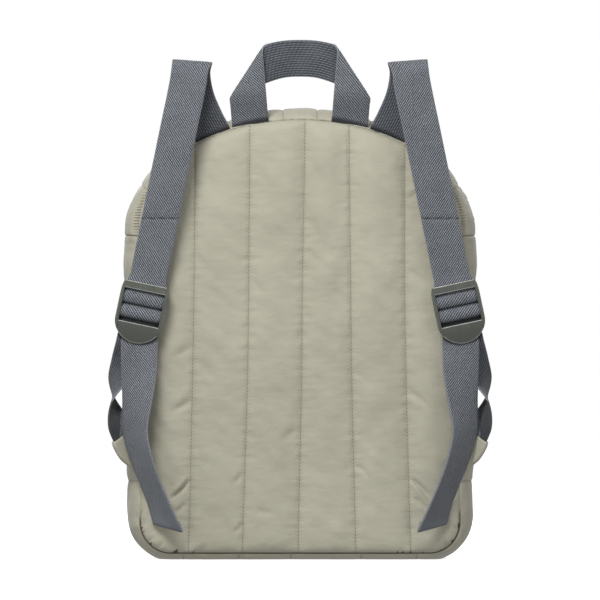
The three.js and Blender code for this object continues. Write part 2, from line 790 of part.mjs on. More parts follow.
const bag = new THREE.Group();
bag.add(
  mesh("back_panel", backPanel, nylon),
  mesh("front_panel", frontPanel, nylon),
  mesh("gusset_lower", gussetBelow, nylon),
  mesh("gusset_upper_rear", gussetUpperRear, nylon),
  mesh("gusset_upper_front", gussetUpperFront, nylon),
  mesh("zip", makeZip(), plastic),
  mesh("carry_handle", carryHandle, webbing),
);
const pairs = [
  ["shoulder_strap", shoulderStrap, webbing],
  ["buckle", makeBuckle(), plastic],
  ["adjuster", adjuster, webbing],
  ["strap_tab", strapTab, nylon],
];
pairs.forEach(([name, geometry, material]) => {
  bag.add(mesh(`${name}_left`, geometry, material));
  bag.add(mesh(`${name}_right`, mirrored(geometry), material));
});

// The origin is under the middle of the whole, straps included
const reach = new THREE.Box3().setFromObject(bag);
bag.position.y = -(reach.min.y + reach.max.y) / 2;

const group = new THREE.Group();
group.add(bag);
export default group;
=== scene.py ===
# Quilted backpack on a pale floor, seen straight on from the side with the shoulder straps.
import json
import math

import bpy
import numpy as np
from mathutils import Matrix, Vector, kdtree

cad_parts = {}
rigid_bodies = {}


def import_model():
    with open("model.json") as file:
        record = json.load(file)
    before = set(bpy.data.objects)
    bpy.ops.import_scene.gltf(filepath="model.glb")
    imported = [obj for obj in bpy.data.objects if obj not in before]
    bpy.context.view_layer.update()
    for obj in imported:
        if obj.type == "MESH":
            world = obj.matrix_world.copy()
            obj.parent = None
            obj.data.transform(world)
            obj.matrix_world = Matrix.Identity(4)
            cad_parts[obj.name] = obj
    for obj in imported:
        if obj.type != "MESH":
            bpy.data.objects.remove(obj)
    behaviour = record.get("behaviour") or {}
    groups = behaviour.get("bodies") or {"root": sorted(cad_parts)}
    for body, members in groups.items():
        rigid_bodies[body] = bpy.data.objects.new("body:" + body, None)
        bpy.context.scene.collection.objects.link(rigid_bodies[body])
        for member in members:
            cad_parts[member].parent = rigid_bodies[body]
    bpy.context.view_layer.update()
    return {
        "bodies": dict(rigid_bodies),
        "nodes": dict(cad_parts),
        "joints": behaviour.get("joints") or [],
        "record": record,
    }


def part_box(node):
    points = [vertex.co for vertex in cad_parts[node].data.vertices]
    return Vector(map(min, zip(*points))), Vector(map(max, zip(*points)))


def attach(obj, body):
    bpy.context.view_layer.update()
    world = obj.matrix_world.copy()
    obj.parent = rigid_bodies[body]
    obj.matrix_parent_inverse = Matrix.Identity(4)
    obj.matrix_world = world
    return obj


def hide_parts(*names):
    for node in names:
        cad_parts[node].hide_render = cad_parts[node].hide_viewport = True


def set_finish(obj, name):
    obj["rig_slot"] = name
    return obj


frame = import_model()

bodyName = "root"
mm = 0.001  # every size below is in millimetres, and makeMesh turns it into metres

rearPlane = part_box("gusset_lower")[0].y / mm
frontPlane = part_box("gusset_lower")[1].y / mm
middlePlane = (rearPlane + frontPlane) / 2
halfDepth = (frontPlane - rearPlane) / 2


# Numbers over arrays

farOff = 50.0  # a distance to a seam or stitch past which nothing changes


def smoothStep(t):
    t = np.clip(t, 0.0, 1.0)
    return t * t * (3 - 2 * t)


def valueNoise(u, v, seed, size=97):
    table = np.random.default_rng(seed).random((size, size)) * 2 - 1
    lowU, lowV = np.floor(u).astype(int), np.floor(v).astype(int)
    partU, partV = smoothStep(u - lowU), smoothStep(v - lowV)
    corner = lambda du, dv: table[(lowU + du) % size, (lowV + dv) % size]
    below = corner(0, 0) * (1 - partU) + corner(1, 0) * partU
    above = corner(0, 1) * (1 - partU) + corner(1, 1) * partU
    return below * (1 - partV) + above * partV


def unit(vectors):
    return vectors / np.maximum(np.linalg.norm(vectors, axis=-1, keepdims=True), 1e-9)


def runAlong(points):
    return np.concatenate([[0], np.cumsum(np.linalg.norm(np.diff(points, axis=0), axis=1))])


# Meshes

def makeMesh(name, vertices, faces, smooth=True):
    mesh = bpy.data.meshes.new(name)
    vertices = np.asarray(vertices, float).reshape(-1, 3) * mm
    mesh.from_pydata(vertices.tolist(), [], faces)
    mesh.update()
    if smooth:
        mesh.shade_smooth()
    corners = np.zeros(len(mesh.loop_triangles) * 3, int)
    mesh.loop_triangles.foreach_get("vertices", corners)
    a, b, c = (vertices[corners.reshape(-1, 3)[:, i]] for i in range(3))
    if np.einsum("ij,ij->i", a, np.cross(b, c)).sum() < 0:
        mesh.flip_normals()
    piece = bpy.data.objects.new(name, mesh)
    bpy.context.scene.collection.objects.link(piece)
    return piece


def addVectors(piece, name, values):
    attribute = piece.data.attributes.new(name, "FLOAT_VECTOR", "POINT")
    attribute.data.foreach_set("vector", np.asarray(values, np.float32).ravel())


def gridFaces(rows, columns, closed=False):
    faces = []
    for r in range(rows - 1):
        for c in range(columns if closed else columns - 1):
            after = (c + 1) % columns
            faces.append((r * columns + c, r * columns + after,
                          (r + 1) * columns + after, (r + 1) * columns + c))
    return faces


# Faces of a row of rings, closed at both ends
def tubeFaces(count, sides):
    ends = [tuple(range(sides))[::-1], tuple((count - 1) * sides + i for i in range(sides))]
    return gridFaces(count, sides, closed=True) + ends


def addPart(vertices, faces, spots, found):
    faces += [tuple(len(vertices) + i for i in f) for f in found]
    vertices += list(spots)


# Joins an outer and an inner skin with the same faces into one closed body
def closedShell(outer, inner, faces):
    count = len(outer)
    directed = {(f[i], f[(i + 1) % len(f)]) for f in faces for i in range(len(f))}
    rim = [(b, a, a + count, b + count) for a, b in directed if (b, a) not in directed]
    under = [tuple(i + count for i in reversed(f)) for f in faces]
    return np.vstack([outer, inner]), list(faces) + under + sorted(rim)


def mirrorOf(piece, name):
    mesh = piece.data.copy()
    mesh.transform(Matrix.Scale(-1, 4, Vector((1, 0, 0))))
    mesh.flip_normals()
    copy = bpy.data.objects.new(name, mesh)
    bpy.context.scene.collection.objects.link(copy)
    return copy


# Shaders: a Socket joins in sums, and a Graph builds the nodes of one material or world

class Socket:
    def __init__(self, graph, socket):
        self.graph, self.socket = graph, socket

    def math(self, operation, *others):
        values = dict(enumerate((self, *others)))
        return self.graph.add("ShaderNodeMath", {"operation": operation}, values)

    def __add__(self, other):
        return self.math("ADD", other)

    def __sub__(self, other):
        return self.math("SUBTRACT", other)

    def __rsub__(self, other):
        return self.graph.add("ShaderNodeMath", {"operation": "SUBTRACT"}, {0: other, 1: self})

    def __mul__(self, other):
        return self.math("MULTIPLY", other)

    __radd__ = __add__
    __rmul__ = __mul__

    def wave(self, period):
        return (self * (2 * math.pi / period)).math("SINE") * 0.5 + 0.5

    def above(self, low, high):
        settings = {"interpolation_type": "SMOOTHSTEP"}
        values = {"Value": self, "From Min": low, "From Max": high}
        return self.graph.add("ShaderNodeMapRange", settings, values)


class Graph:
    def __init__(self, owner):
        owner.use_nodes = True
        self.owner, self.tree = owner, owner.node_tree

    def add(self, kind, settings=None, values=None, output=0):
        node = self.tree.nodes.new(kind)
        for key, value in (settings or {}).items():
            setattr(node, key, value)
        for key, value in (values or {}).items():
            self.feed(node.inputs[key], value)
        return Socket(self, node.outputs[output])

    def feed(self, socket, value):
        if isinstance(value, Socket):
            self.tree.links.new(value.socket, socket)
        else:
            socket.default_value = value

    def mix(self, factor, first, second):
        values = {0: factor}
        for key, colour in ((6, first), (7, second)):
            values[key] = colour if isinstance(colour, Socket) else (*colour, 1)
        return self.add("ShaderNodeMix", {"data_type": "RGBA"}, values, 2)

    def split(self, vector):
        return [self.add("ShaderNodeSeparateXYZ", None, {0: vector}, i) for i in range(3)]

    def parts(self, name):
        return self.split(self.add("ShaderNodeAttribute", {"attribute_name": name}, output=1))

    def place(self):
        return self.add("ShaderNodeTexCoord", output=3)

    def noise(self, scale, detail=3.0, stretch=(1, 1, 1)):
        where = self.add("ShaderNodeVectorMath", {"operation": "MULTIPLY"}, {0: self.place(), 1: stretch})
        return self.add("ShaderNodeTexNoise", None, {"Vector": where, "Scale": scale, "Detail": detail})

    def bump(self, height, distance, strength):
        values = {"Height": height, "Distance": distance, "Strength": strength}
        return self.add("ShaderNodeBump", None, values)

    def surface(self, **sockets):
        shader = self.tree.nodes["Principled BSDF"]
        for name, value in sockets.items():
            self.feed(shader.inputs[name.replace("_", " ")], value)
        return self.owner


def linear(red, green, blue):
    values = np.array([red, green, blue]) / 255
    bright = ((values + 0.055) / 1.055) ** 2.4
    return tuple(float(v) for v in np.where(values <= 0.04045, values / 12.92, bright))


# Nylon over padding: the attribute "stitch" holds the distance to the nearest stitched line,
# the distance along it and the distance to the seam, all in millimetres
nylonLook = {
    "light": linear(181, 178, 160), "dark": linear(168, 165, 147),
    # hole is the colour of painted shade in the needle holes, the stitch grooves, the gathers and the
    # ruching
    "hole": linear(84, 80, 64), "seam": linear(66, 56, 38),
    "holePitch": 2.8, "holeSize": 0.42, "holeShadeTone": 0.7,
    "grooveReach": 2.0, "grooveShadeTone": 0.07, "gatherReach": 4.5, "gatherShadeTone": 0.08,
    # the seam colour is painted shade along the seam, strongest near the base and a little at the crown, by
    # height in metres
    "seamReach": 0.45, "lowSeam": (0.02, 0.05), "highSeam": (0.29, 0.34), "seamSpots": 240.0,
    # short gathers along the seam between two heights, with painted shade in their folds
    "ruchePitch": 0.0023, "rucheReach": 2.6, "rucheShadeTone": 0.42,
    "ruchedFrom": (0.262, 0.272), "ruchedTo": (0.294, 0.306),
    "cloudScale": 16.0, "fineScale": 900.0, "weaveScale": 2600.0, "wrinkleScale": 95.0, "crumpleScale": 36.0,
    "roughness": 0.57, "relief": 0.0011, "reliefStrength": 0.55,
}


def makeNylon(look):
    g = Graph(bpy.data.materials.new("quiltedNylon"))
    across, along, seam = g.parts("stitch")
    cloud = g.noise(look["cloudScale"], 3.0, (1, 1, 0.6))
    tone = cloud.above(0.3, 0.7) * 0.55 + g.noise(look["fineScale"]) * 0.45
    colour = g.mix(tone, look["dark"], look["light"])
    # painted shade in the needle holes, in the grooves they lie in and in the gathers beside them; the holes
    # and gathers dent the relief too
    toHole = along.math("PINGPONG", look["holePitch"] / 2)
    hole = (toHole * toHole + across * across).math("SQRT")
    hole = 1 - hole.above(look["holeSize"] * 0.6, look["holeSize"] * 1.5)
    grooveShade = 1 - across.above(0.2, look["grooveReach"])
    gathered = 1 - across.above(0.6, look["gatherReach"])
    gathered = along.wave(look["holePitch"]) * gathered * g.noise(150.0, 1.0)
    colour = g.mix(grooveShade * look["grooveShadeTone"] + gathered * look["gatherShadeTone"], colour, look["hole"])
    colour = g.mix(hole * look["holeShadeTone"], colour, look["hole"])
    height = g.split(g.place())[2]
    # painted shade along the seam, strongest near the base and a little at the crown, broken up by noise
    shade = (1 - height.above(*look["lowSeam"])) * 0.8 + height.above(*look["highSeam"]) * 0.25
    shade = (shade + g.noise(look["seamSpots"]) * 0.6).above(0.3, 0.9)
    colour = g.mix((1 - seam.above(0.0, look["seamReach"])) * shade, colour, look["seam"])
    # painted shade in the ruching along the seam, which also dents the relief
    ruched = height.above(*look["ruchedFrom"]) * (1 - height.above(*look["ruchedTo"]))
    ruched = ruched * (1 - seam.above(0.3, look["rucheReach"]))
    ruched = ruched * (height + g.noise(60.0) * 0.002).wave(look["ruchePitch"])
    colour = g.mix(ruched * ruched * look["rucheShadeTone"], colour, look["hole"])
    weave = g.noise(look["weaveScale"], 1.0)
    wrinkle = g.noise(look["wrinkleScale"], 4.0, (1, 1, 2.2))
    crumple = g.noise(look["crumpleScale"], 2.0, (1, 1, 1.4))
    relief = weave * 0.1 + wrinkle * 0.8 + crumple * 2.6 - hole * 0.7 - gathered * 0.5 - ruched * 1.5
    return g.surface(Base_Color=colour, Roughness=cloud * 0.1 + look["roughness"],
                     Normal=g.bump(relief, look["relief"], look["reliefStrength"]),
                     Sheen_Weight=0.15, Sheen_Roughness=0.5, Specular_IOR_Level=0.3)


# Webbing: the attribute "weave" holds the place across and along it in millimetres, and 1 on the
# face that shows on the straps, 0 on the other. The second attribute holds the distance to painted shade
webbingLook = {
    "dark": linear(48, 51, 57), "light": linear(164, 169, 176),
    # deep is the colour of painted shade where light hardly reaches the webbing
    "edge": linear(140, 143, 148), "deep": linear(24, 25, 29),
    "pitchAcross": 1.9, "pitchAlong": 1.7, "twillShift": 0.5, "ribPitch": 1.9, "ribTone": 0.62,
    "edgeFrom": 14.1, "edgeTo": 14.7, "edgeTone": 0.7, "paintedShadeReach": 2.2, "paintedShadeTone": 0.86,
    "fuzzScale": 1500.0, "fuzz": 0.5, "slipScale": 500.0, "slip": 1.1, "cloudScale": 60.0,
    "roughness": 0.78, "relief": 0.0006, "reliefStrength": 0.9,
}


def makeWebbing(look):
    g = Graph(bpy.data.materials.new("slateWebbing"))
    plainAcross, plainAlong, face = g.parts("weave")
    fuzz = g.noise(look["fuzzScale"], 2.0)
    across = plainAcross + fuzz * look["fuzz"]
    along = plainAlong + g.noise(look["slipScale"], 2.0) * look["slip"]
    shifted = across + along * (look["pitchAcross"] * look["twillShift"] / look["pitchAlong"])
    diagonal = (across * 0.8 - along * 0.75).wave(look["pitchAlong"])
    twill = (shifted.wave(look["pitchAcross"]) * 0.4 + 0.6) * diagonal
    dash = (along + across * 0.5).wave(2 * look["pitchAlong"])
    rib = across.wave(look["ribPitch"]) * (dash * 0.4 + 0.6)
    thread = twill * face + rib * (1 - face) * look["ribTone"]
    tone = thread.above(0.1, 0.85) * (face * 0.25 + 0.55)
    tone = tone + fuzz * 0.4 + g.noise(look["cloudScale"], 2.0) * 0.16 - 0.22
    colour = g.mix(tone, look["dark"], look["light"])
    edge = plainAcross.math("ABSOLUTE").above(look["edgeFrom"], look["edgeTo"])
    colour = g.mix(edge * look["edgeTone"], colour, look["edge"])
    # painted shade where light hardly reaches the webbing
    paintedShade = 1 - g.parts("paintedShadeDistance")[0].above(0.0, look["paintedShadeReach"])
    colour = g.mix(paintedShade * look["paintedShadeTone"], colour, look["deep"])
    return g.surface(Base_Color=colour, Roughness=tone * 0.1 + look["roughness"],
                     Normal=g.bump(thread + fuzz * 0.3, look["relief"], look["reliefStrength"]),
                     Sheen_Weight=0.1, Specular_IOR_Level=0.25)


# Moulded plastic: its attribute holds 1 on the rims, which get a painted highlight, and how far down the lip
# a place is, which gets painted shade
plasticLook = {
    "colour": linear(84, 87, 81), "pale": linear(104, 106, 98),
    # rim is the colour of the painted highlight, deep that of the painted shade down the lip
    "rim": linear(186, 188, 180), "deep": linear(52, 55, 51),
    "cloudScale": 90.0, "streakScale": 320.0, "grainScale": 4200.0, "grain": 0.00006, "roughness": 0.17,
}


def makePlastic(look):
    g = Graph(bpy.data.materials.new("bucklePlastic"))
    cloud = g.noise(look["cloudScale"])
    streak = g.noise(look["streakScale"], 2.0, (1, 1, 0.12))
    grain = g.noise(look["grainScale"], 2.0)
    rim, low, _ = g.parts("highlightAndShade")
    # lower down the lip the plastic is less pale and darker: painted shade
    colour = g.mix(cloud.above(0.35, 0.7) * 0.35 + streak * 0.2 - low * 0.5, look["colour"], look["pale"])
    colour = g.mix(low * 0.4, colour, look["deep"])
    # painted highlight on the rims of the plate
    colour = g.mix(rim * (streak * 0.5 + 0.5), colour, look["rim"])
    rough = grain * 0.12 + streak * 0.1 + look["roughness"]
    return g.surface(Base_Color=colour, Roughness=rough, Normal=g.bump(grain, look["grain"], 0.5),
                     Specular_IOR_Level=0.5)


# Thread and tape: light and dark tone, fineness and detail of the yarn, relief, its strength, sheen
yarnLooks = {
    "beigeThread": (linear(168, 164, 144), linear(138, 133, 113), 3000.0, 1.0, 0.0002, 0.6, 0.2),
    "greyThread": (linear(66, 69, 75), linear(38, 40, 45), 3000.0, 1.0, 0.0002, 0.6, 0.2),
    "zipTapes": (linear(186, 182, 164), linear(158, 154, 134), 1800.0, 2.0, 0.0003, 0.7, 0.1),
}


def makeYarn(name, light, dark, scale, detail, relief, strength, sheen):
    g = Graph(bpy.data.materials.new(name))
    yarn = g.noise(scale, detail)
    return g.surface(Base_Color=g.mix(yarn, dark, light), Normal=g.bump(yarn, relief, strength),
                     Roughness=0.8, Sheen_Weight=sheen)


nylon = makeNylon(nylonLook)
webbing = makeWebbing(webbingLook)
plastic = makePlastic(plasticLook)
beigeThread, greyThread, zipTapes = (makeYarn(name, *look) for name, look in yarnLooks.items())
print("materials made")


def dress(piece, material, slotName, nodes):
    piece.data.materials.clear()
    piece.data.materials.append(material)
    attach(piece, bodyName)
    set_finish(piece, slotName)
    if nodes:
        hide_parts(*nodes)
    return piece


# Outlines: place runs from 0 at the middle of the base, up the +X side, to 4 at the crown,
# and down the other side to 8

bag = {
    "width": 289, "height": 369, "crownRise": 109, "baseNarrowing": 2.5, "baseCorner": 41,
    "baseSag": 3.2, "sidePuff": 12.3, "crownPuff": 10.6, "basePuff": 5.7,
    "seamCorner": 24.5, "seamCrownRise": 87.5, "wall": 7, "gap": 0.15,
}
halfWidth = bag["width"] / 2
silhouette = {
    "half": halfWidth, "foot": halfWidth - bag["baseNarrowing"], "floor": -bag["baseSag"],
    "top": bag["height"], "rise": bag["crownRise"], "corner": bag["baseCorner"],
}
seamLine = {
    "half": halfWidth - bag["sidePuff"], "foot": silhouette["foot"] - bag["sidePuff"],
    "floor": bag["basePuff"], "top": bag["height"] - bag["crownPuff"],
    "rise": bag["seamCrownRise"], "corner": bag["seamCorner"],
}
quarters = 4


def pointsOn(outline, place):
    place = np.asarray(place, float)
    other = place > quarters
    along = np.where(other, 2 * quarters - place, place)
    stretch = np.clip(np.floor(along), 0, quarters - 1).astype(int)
    t = along - stretch
    turn = t * math.pi / 2
    corner, spring = outline["corner"], outline["top"] - outline["rise"]
    foot = outline["floor"] + corner
    x = np.choose(stretch, [
        t * (outline["foot"] - corner),
        outline["foot"] - corner + corner * np.sin(turn),
        outline["foot"] + (outline["half"] - outline["foot"]) * smoothStep(t),
        outline["half"] * np.cos(turn),
    ])
    z = np.choose(stretch, [
        outline["floor"] + 0 * t,
        outline["floor"] + corner * (1 - np.cos(turn)),
        foot + (spring - foot) * t,
        spring + outline["rise"] * np.sin(turn),
    ])
    return np.stack([np.where(other, -x, x), z], -1)


outlineSteps = 4800
places = np.linspace(0, 2 * quarters, outlineSteps + 1)
loopPoints = pointsOn(silhouette, places)
loopMeasured = runAlong(loopPoints)
loopLength = loopMeasured[-1]
seamPoints = pointsOn(seamLine, places[:-1])
seamTree = kdtree.KDTree(len(seamPoints))
for number, (x, z) in enumerate(seamPoints):
    seamTree.insert((x, z, 0), number)
seamTree.balance()


def crownSeamHeight(x):
    share = min(abs(x) / seamLine["half"], 1)
    return seamLine["top"] - seamLine["rise"] + seamLine["rise"] * math.sqrt(1 - share * share)


def seamHalfWidth(z):
    corner, floor = seamLine["corner"], seamLine["floor"]
    spring = seamLine["top"] - seamLine["rise"]
    below = np.clip((z - floor) / corner, 0, 1)
    low = seamLine["foot"] - corner + corner * np.sqrt(1 - (1 - below) ** 2)
    t = smoothStep((z - floor - corner) / (spring - floor - corner))
    side = seamLine["foot"] + (seamLine["half"] - seamLine["foot"]) * t
    above = np.clip((z - spring) / seamLine["rise"], 0, 1)
    high = seamLine["half"] * np.sqrt(1 - above ** 2)
    width = np.where(z < floor + corner, low, np.where(z < spring, side, high))
    return np.where((z < floor) | (z > seamLine["top"]), -1, width)


# Cloth: a skin held at its stitched lines and seams swells between them

clothLook = {"frames": 18, "pressure": 3.0, "grow": 0.03, "cap": 3.0, "quality": 6, "sewnHold": 0.995}


def swell(vertices, faces, held, look=clothLook):
    piece = makeMesh("swelling", vertices, faces)
    group = piece.vertex_groups.new(name="held")
    for weight in np.unique(held[held > 0]):
        group.add(np.nonzero(held == weight)[0].tolist(), float(weight), "REPLACE")
    cloth = piece.modifiers.new("cloth", "CLOTH")
    settings = cloth.settings
    settings.vertex_group_mass = "held"
    settings.use_pressure = True
    settings.uniform_pressure_force = look["pressure"]
    settings.shrink_min = -look["grow"]
    settings.effector_weights.gravity = 0
    settings.quality = look["quality"]
    scene = bpy.context.scene
    scene.frame_start, scene.frame_end = 1, look["frames"]
    cloth.point_cache.frame_start, cloth.point_cache.frame_end = 1, look["frames"]
    for step in range(1, look["frames"] + 1):
        scene.frame_set(step)
    shown = piece.evaluated_get(bpy.context.evaluated_depsgraph_get())
    moved = np.zeros(len(vertices) * 3)
    shown.data.vertices.foreach_get("co", moved)
    scene.frame_set(1)
    bpy.data.objects.remove(piece)
    shift = moved.reshape(-1, 3) / mm - vertices
    length = np.linalg.norm(shift, axis=1, keepdims=True)
    return vertices + shift * np.minimum(1, look["cap"] / np.maximum(length, 1e-6))


# Panels

backPanel = {
    "name": "backPanelCover", "node": "back_panel", "side": -1,
    "pitch": 42.5, "flare": 3.2, "puff": 4.0, "swell": 0.0, "edge": 3.2, "edgeWidth": 7.0,
    "roll": 22.0, "power": 0.62, "channelSteps": 30, "rowStep": 1.5, "reach": 3.3, "lines": 2,
    "pucker": 0.75, "puckerReach": 4.5, "ripple": 1.1, "rippleReach": 14.0, "seed": 11,
    # gathers along the seam, stronger in the lower corners, where the painted seam shade reaches out in
    # spikes
    "gather": 0.55, "gatherReach": 7.0, "corner": 60.0, "cornerFade": 30.0, "cornerGather": 1.5,
    "cornerSpikes": 6.5, "middle": 180.0,
    # how far each stitched line wanders aside, at the base, half way up and at the crown
    "wander": [[0, -1.4, -1.4, 0, -0.7], [-0.3, 1.1, 1.6, -1.6, -0.8], [-0.4, 1.6, 4.1, -2.5, 0.4]],
    # soft creases: from x, z to x, z, depth and width
    "creases": [
        (-89.5, 66, -107, 48, 3.0, 1.4), (-93, 47, -103, 38, 1.6, 1.7), (-87, 132, -108, 119, 1.6, 2.6),
        (-46.5, 72, -56, 61, 1.1, 1.8), (-45.5, 31, -56, 21, 1.2, 1.7), (-86, 176, -106, 164, 1.1, 3.0),
        (89.5, 67, 108, 47, 3.0, 1.4), (92, 51, 106, 37, 1.8, 1.7), (87, 138, 107, 121, 1.6, 2.6),
        (45, 78, 57, 64, 1.1, 1.9), (3, 254, 18, 238, 0.7, 3.0), (-43, 230, -27, 212, 0.8, 3.0),
        (43, 154, 60, 139, 0.7, 2.8), (-2, 109, -20, 93, 0.8, 2.8), (87, 236, 105, 223, 0.9, 3.0),
        (-131, 24.5, -124, 30, 1.7, 0.9), (-124, 12, -117.5, 19, 1.7, 0.9), (-115, 8, -110, 15, 1.5, 0.9),
        (131, 24.5, 124, 30, 1.7, 0.9), (122, 11, 116.5, 18, 1.7, 0.9), (-6, 355, 5, 358, 1.5, 0.9),
        (-100, 306, -88, 298, 0.9, 2.4), (96, 300, 84, 292, 0.9, 2.4), (-36, 40, -20, 36, 0.7, 2.6),
    ],
}
frontPanel = {
    **backPanel, "name": "frontPanelCover", "node": "front_panel", "side": 1,
    "pitch": 43.5, "flare": 0.0, "puff": 7.5, "swell": 7.0, "edge": 3.2, "power": 0.6,
    "pucker": 0.9, "puckerReach": 6.0, "ripple": 1.2, "seed": 23, "cornerSpikes": 1.5,
    "wander": [[0] * 5] * 3,
    "creases": [(-96, 60, -112, 46, 1.4, 2.2), (95, 70, 110, 55, 1.3, 2.2), (-50, 110, -66, 98, 0.8, 3.0),
                (40, 190, 56, 178, 0.8, 3.0), (92, 240, 108, 232, 0.9, 3.0), (-8, 60, -24, 48, 0.8, 2.6)],
}


def creaseDepth(x, z, creases):
    depth = np.zeros_like(x)
    for x1, z1, x2, z2, deep, wide in creases:
        along = np.array([x2 - x1, z2 - z1])
        length = np.linalg.norm(along)
        along = along / length
        t = (x - x1) * along[0] + (z - z1) * along[1]
        aside = (x - x1) * along[1] - (z - z1) * along[0]
        aside = aside + 1.2 * np.sin(math.pi * np.clip(t / length, 0, 1))
        ends = smoothStep(t / (0.25 * length)) * smoothStep((length - t) / (0.5 * length))
        valley = np.exp(-(aside / wide) ** 2) - 0.45 * np.exp(-((aside - 2.4 * wide) / (1.6 * wide)) ** 2)
        depth += deep * ends * valley
    return depth


# A grid of places on the panel, trimmed to the seam, with its rim laid on the seam itself
def panelGrid(p):
    columns = round(2 * p["reach"] * p["channelSteps"])
    low = seamLine["floor"] - seamLine["corner"] / 2
    high = seamLine["top"] + seamLine["corner"] / 2
    rows = round((high - low) / p["rowStep"])
    u, z = np.meshgrid(np.linspace(-p["reach"], p["reach"], columns + 1), np.linspace(low, high, rows + 1))
    up = (z - low) / (high - low)
    lines = np.arange(-p["lines"], p["lines"] + 1)
    base, half, crown = (np.interp(u[0], lines, row) for row in p["wander"])
    lower, upper = smoothStep(up * 2), smoothStep(up * 2 - 1)
    aside = np.where(up < 0.5, base + (half - base) * lower, half + (crown - half) * upper)
    x = u * (p["pitch"] + p["flare"] * (1 - up) ** 2) + aside
    found = np.array([seamTree.find((a, b, 0))[1:] for a, b in zip(x.ravel(), z.ravel())])
    nearest, distance = found[:, 0].astype(int), found[:, 1]
    inside = np.abs(x) < seamHalfWidth(z)
    edge = ~(inside.ravel() & (distance > 0.4 * p["pitch"] / p["channelSteps"]))
    x, z = x.ravel(), z.ravel()
    x[edge], z[edge] = seamPoints[nearest[edge]].T
    distance[edge] = 0
    kept = [f for f in gridFaces(rows + 1, columns + 1) if any(not edge[i] for i in f)]
    used = sorted({i for f in kept for i in f})
    number = {old: new for new, old in enumerate(used)}
    faces = [tuple(number[i] for i in f) for f in kept]
    return [values[used] for values in (x, z, u.ravel(), distance)], faces


# Heights of the puffed skin with and without its puckers, and what the nylon needs to know
def panelHeights(p, x, z, u, d):
    beyond = np.abs(u) - p["lines"]
    away = np.where(beyond > 0, beyond, np.abs(u - np.round(u))) * p["pitch"]
    phase = np.where(beyond > 0, np.minimum(beyond, 0.5), u)
    channel = np.abs(np.sin(math.pi * phase)) ** p["power"]
    rise = 1 - (1 - np.minimum(d / p["roll"], 1)) ** 2
    lip = np.sqrt(1 - (1 - np.minimum(d / p["edgeWidth"], 1)) ** 2)
    across = np.minimum(np.abs(x) / seamLine["half"], 1)
    upward = np.clip((z - seamLine["floor"]) / (seamLine["top"] - seamLine["floor"]), 0, 1)
    belly = p["swell"] * (1 - across ** 2) * np.sin(math.pi * upward) ** 0.5
    puffed = (p["puff"] * channel + belly) * rise
    line, seed = np.round(np.clip(u, -p["lines"], p["lines"])) * 7.3, p["seed"]
    ripple = valueNoise(x / 19 + 9, z / 26 + 3, seed) + 0.6 * valueNoise(x / 9 + z / 16, z / 12, seed + 1)
    pucker = valueNoise(line + 50, z / 2.1, seed + 2)
    pucker = pucker + 0.7 * valueNoise(line + 20 + x / 8, z / 4.3, seed + 3)
    nearLine = np.exp(-away / p["puckerReach"]) * smoothStep(away / 1.2)
    detail = p["ripple"] * ripple * smoothStep(away / p["rippleReach"]) + p["pucker"] * pucker * nearLine
    seamRun = np.arctan2(z - p["middle"], x) * 40
    corner = smoothStep((p["corner"] - z) / p["cornerFade"])
    corner = corner * smoothStep((np.abs(x) - p["corner"]) / p["cornerFade"])
    gather = valueNoise(seamRun, d / 9, seed + 4) * np.exp(-d / p["gatherReach"]) * smoothStep(d / 1.2)
    detail = detail * rise + p["gather"] * gather * (1 + p["cornerGather"] * corner)
    detail = detail - creaseDepth(x, z, p["creases"]) * smoothStep(d / 2.5)
    spikes = np.maximum(0, valueNoise(seamRun * 3.1, 0 * d + 7, seed + 5) - 0.35) * p["cornerSpikes"]
    # the distance to the seam shrinks in spikes at the lower corners, so the painted seam shade reaches out
    # there
    marks = np.stack([away, z, np.maximum(d - corner * spikes, 0)], -1)
    return p["edge"] * lip + puffed + detail, p["edge"] + puffed, marks


def makePanel(p):
    (x, z, u, d), faces = panelGrid(p)
    height, smoothHeight, marks = panelHeights(p, x, z, u, d)
    start = (rearPlane if p["side"] < 0 else frontPlane) + p["side"] * 2 * bag["gap"]
    outer = np.stack([x, start + p["side"] * np.maximum(height, 0.05), z], -1)
    inner = np.stack([x, start + p["side"] * np.maximum(0, smoothHeight - bag["wall"]), z], -1)
    onLine = marks[:, 0] < 0.5 * p["pitch"] / p["channelSteps"]
    held = np.where(d < 0.5, 1.0, np.where(onLine, clothLook["sewnHold"], 0.0))
    outer = swell(outer, faces, held)
    for line in range(-p["lines"], p["lines"] + 1):
        on = np.nonzero((np.abs(u - line) < 1e-6) & (d > 2.5))[0]
        stitchLines.append(outer[on[np.argsort(outer[on, 2])]])
    vertices, shell = closedShell(outer, inner, faces)
    piece = makeMesh(p["name"], vertices, shell)
    addVectors(piece, "stitch", np.vstack([marks, np.full_like(marks, farOff)]))
    dress(piece, nylon, "quilted_nylon", [p["node"]])


stitchLines = []
makePanel(backPanel)
makePanel(frontPanel)
print("panels made")


# Gusset

gusset = {
    # creases, in millimetres round the outline from the middle of the base up each side
    "creases": [50, 95, 191.6, 231.6, 271.6, 311.6, 352, 391.8, 436.2, 482, 528, 573.4],
    "baseCrease": -7.4,
    "crease": 1.8, "power": 0.5, "plainPower": 0.6, "bulge": 2.5, "channelSteps": 24, "depthStep": 1.8,
    "rimShares": (0.985, 0.995, 0.9985),
    "pucker": 0.6, "puckerReach": 6.0, "ripple": 0.7, "rippleReach": 9.0, "seed": 41,
    # gathers along both seams, stronger round the lower corners, by millimetres round the outline
    "gather": 0.9, "gatherReach": 9.0, "corner": (85, 180), "cornerFade": 20.0, "cornerGather": 0.9,
    "zipCrease": 8, "zipOffset": 14.0, "zipWidth": 10.0,
}
sideCreases = np.array(gusset["creases"], float)
ring = np.concatenate([-sideCreases[::-1], [gusset["baseCrease"]], sideCreases])
creaseRuns = np.concatenate([ring - loopLength, ring, ring + loopLength])
onCrease = 0.01


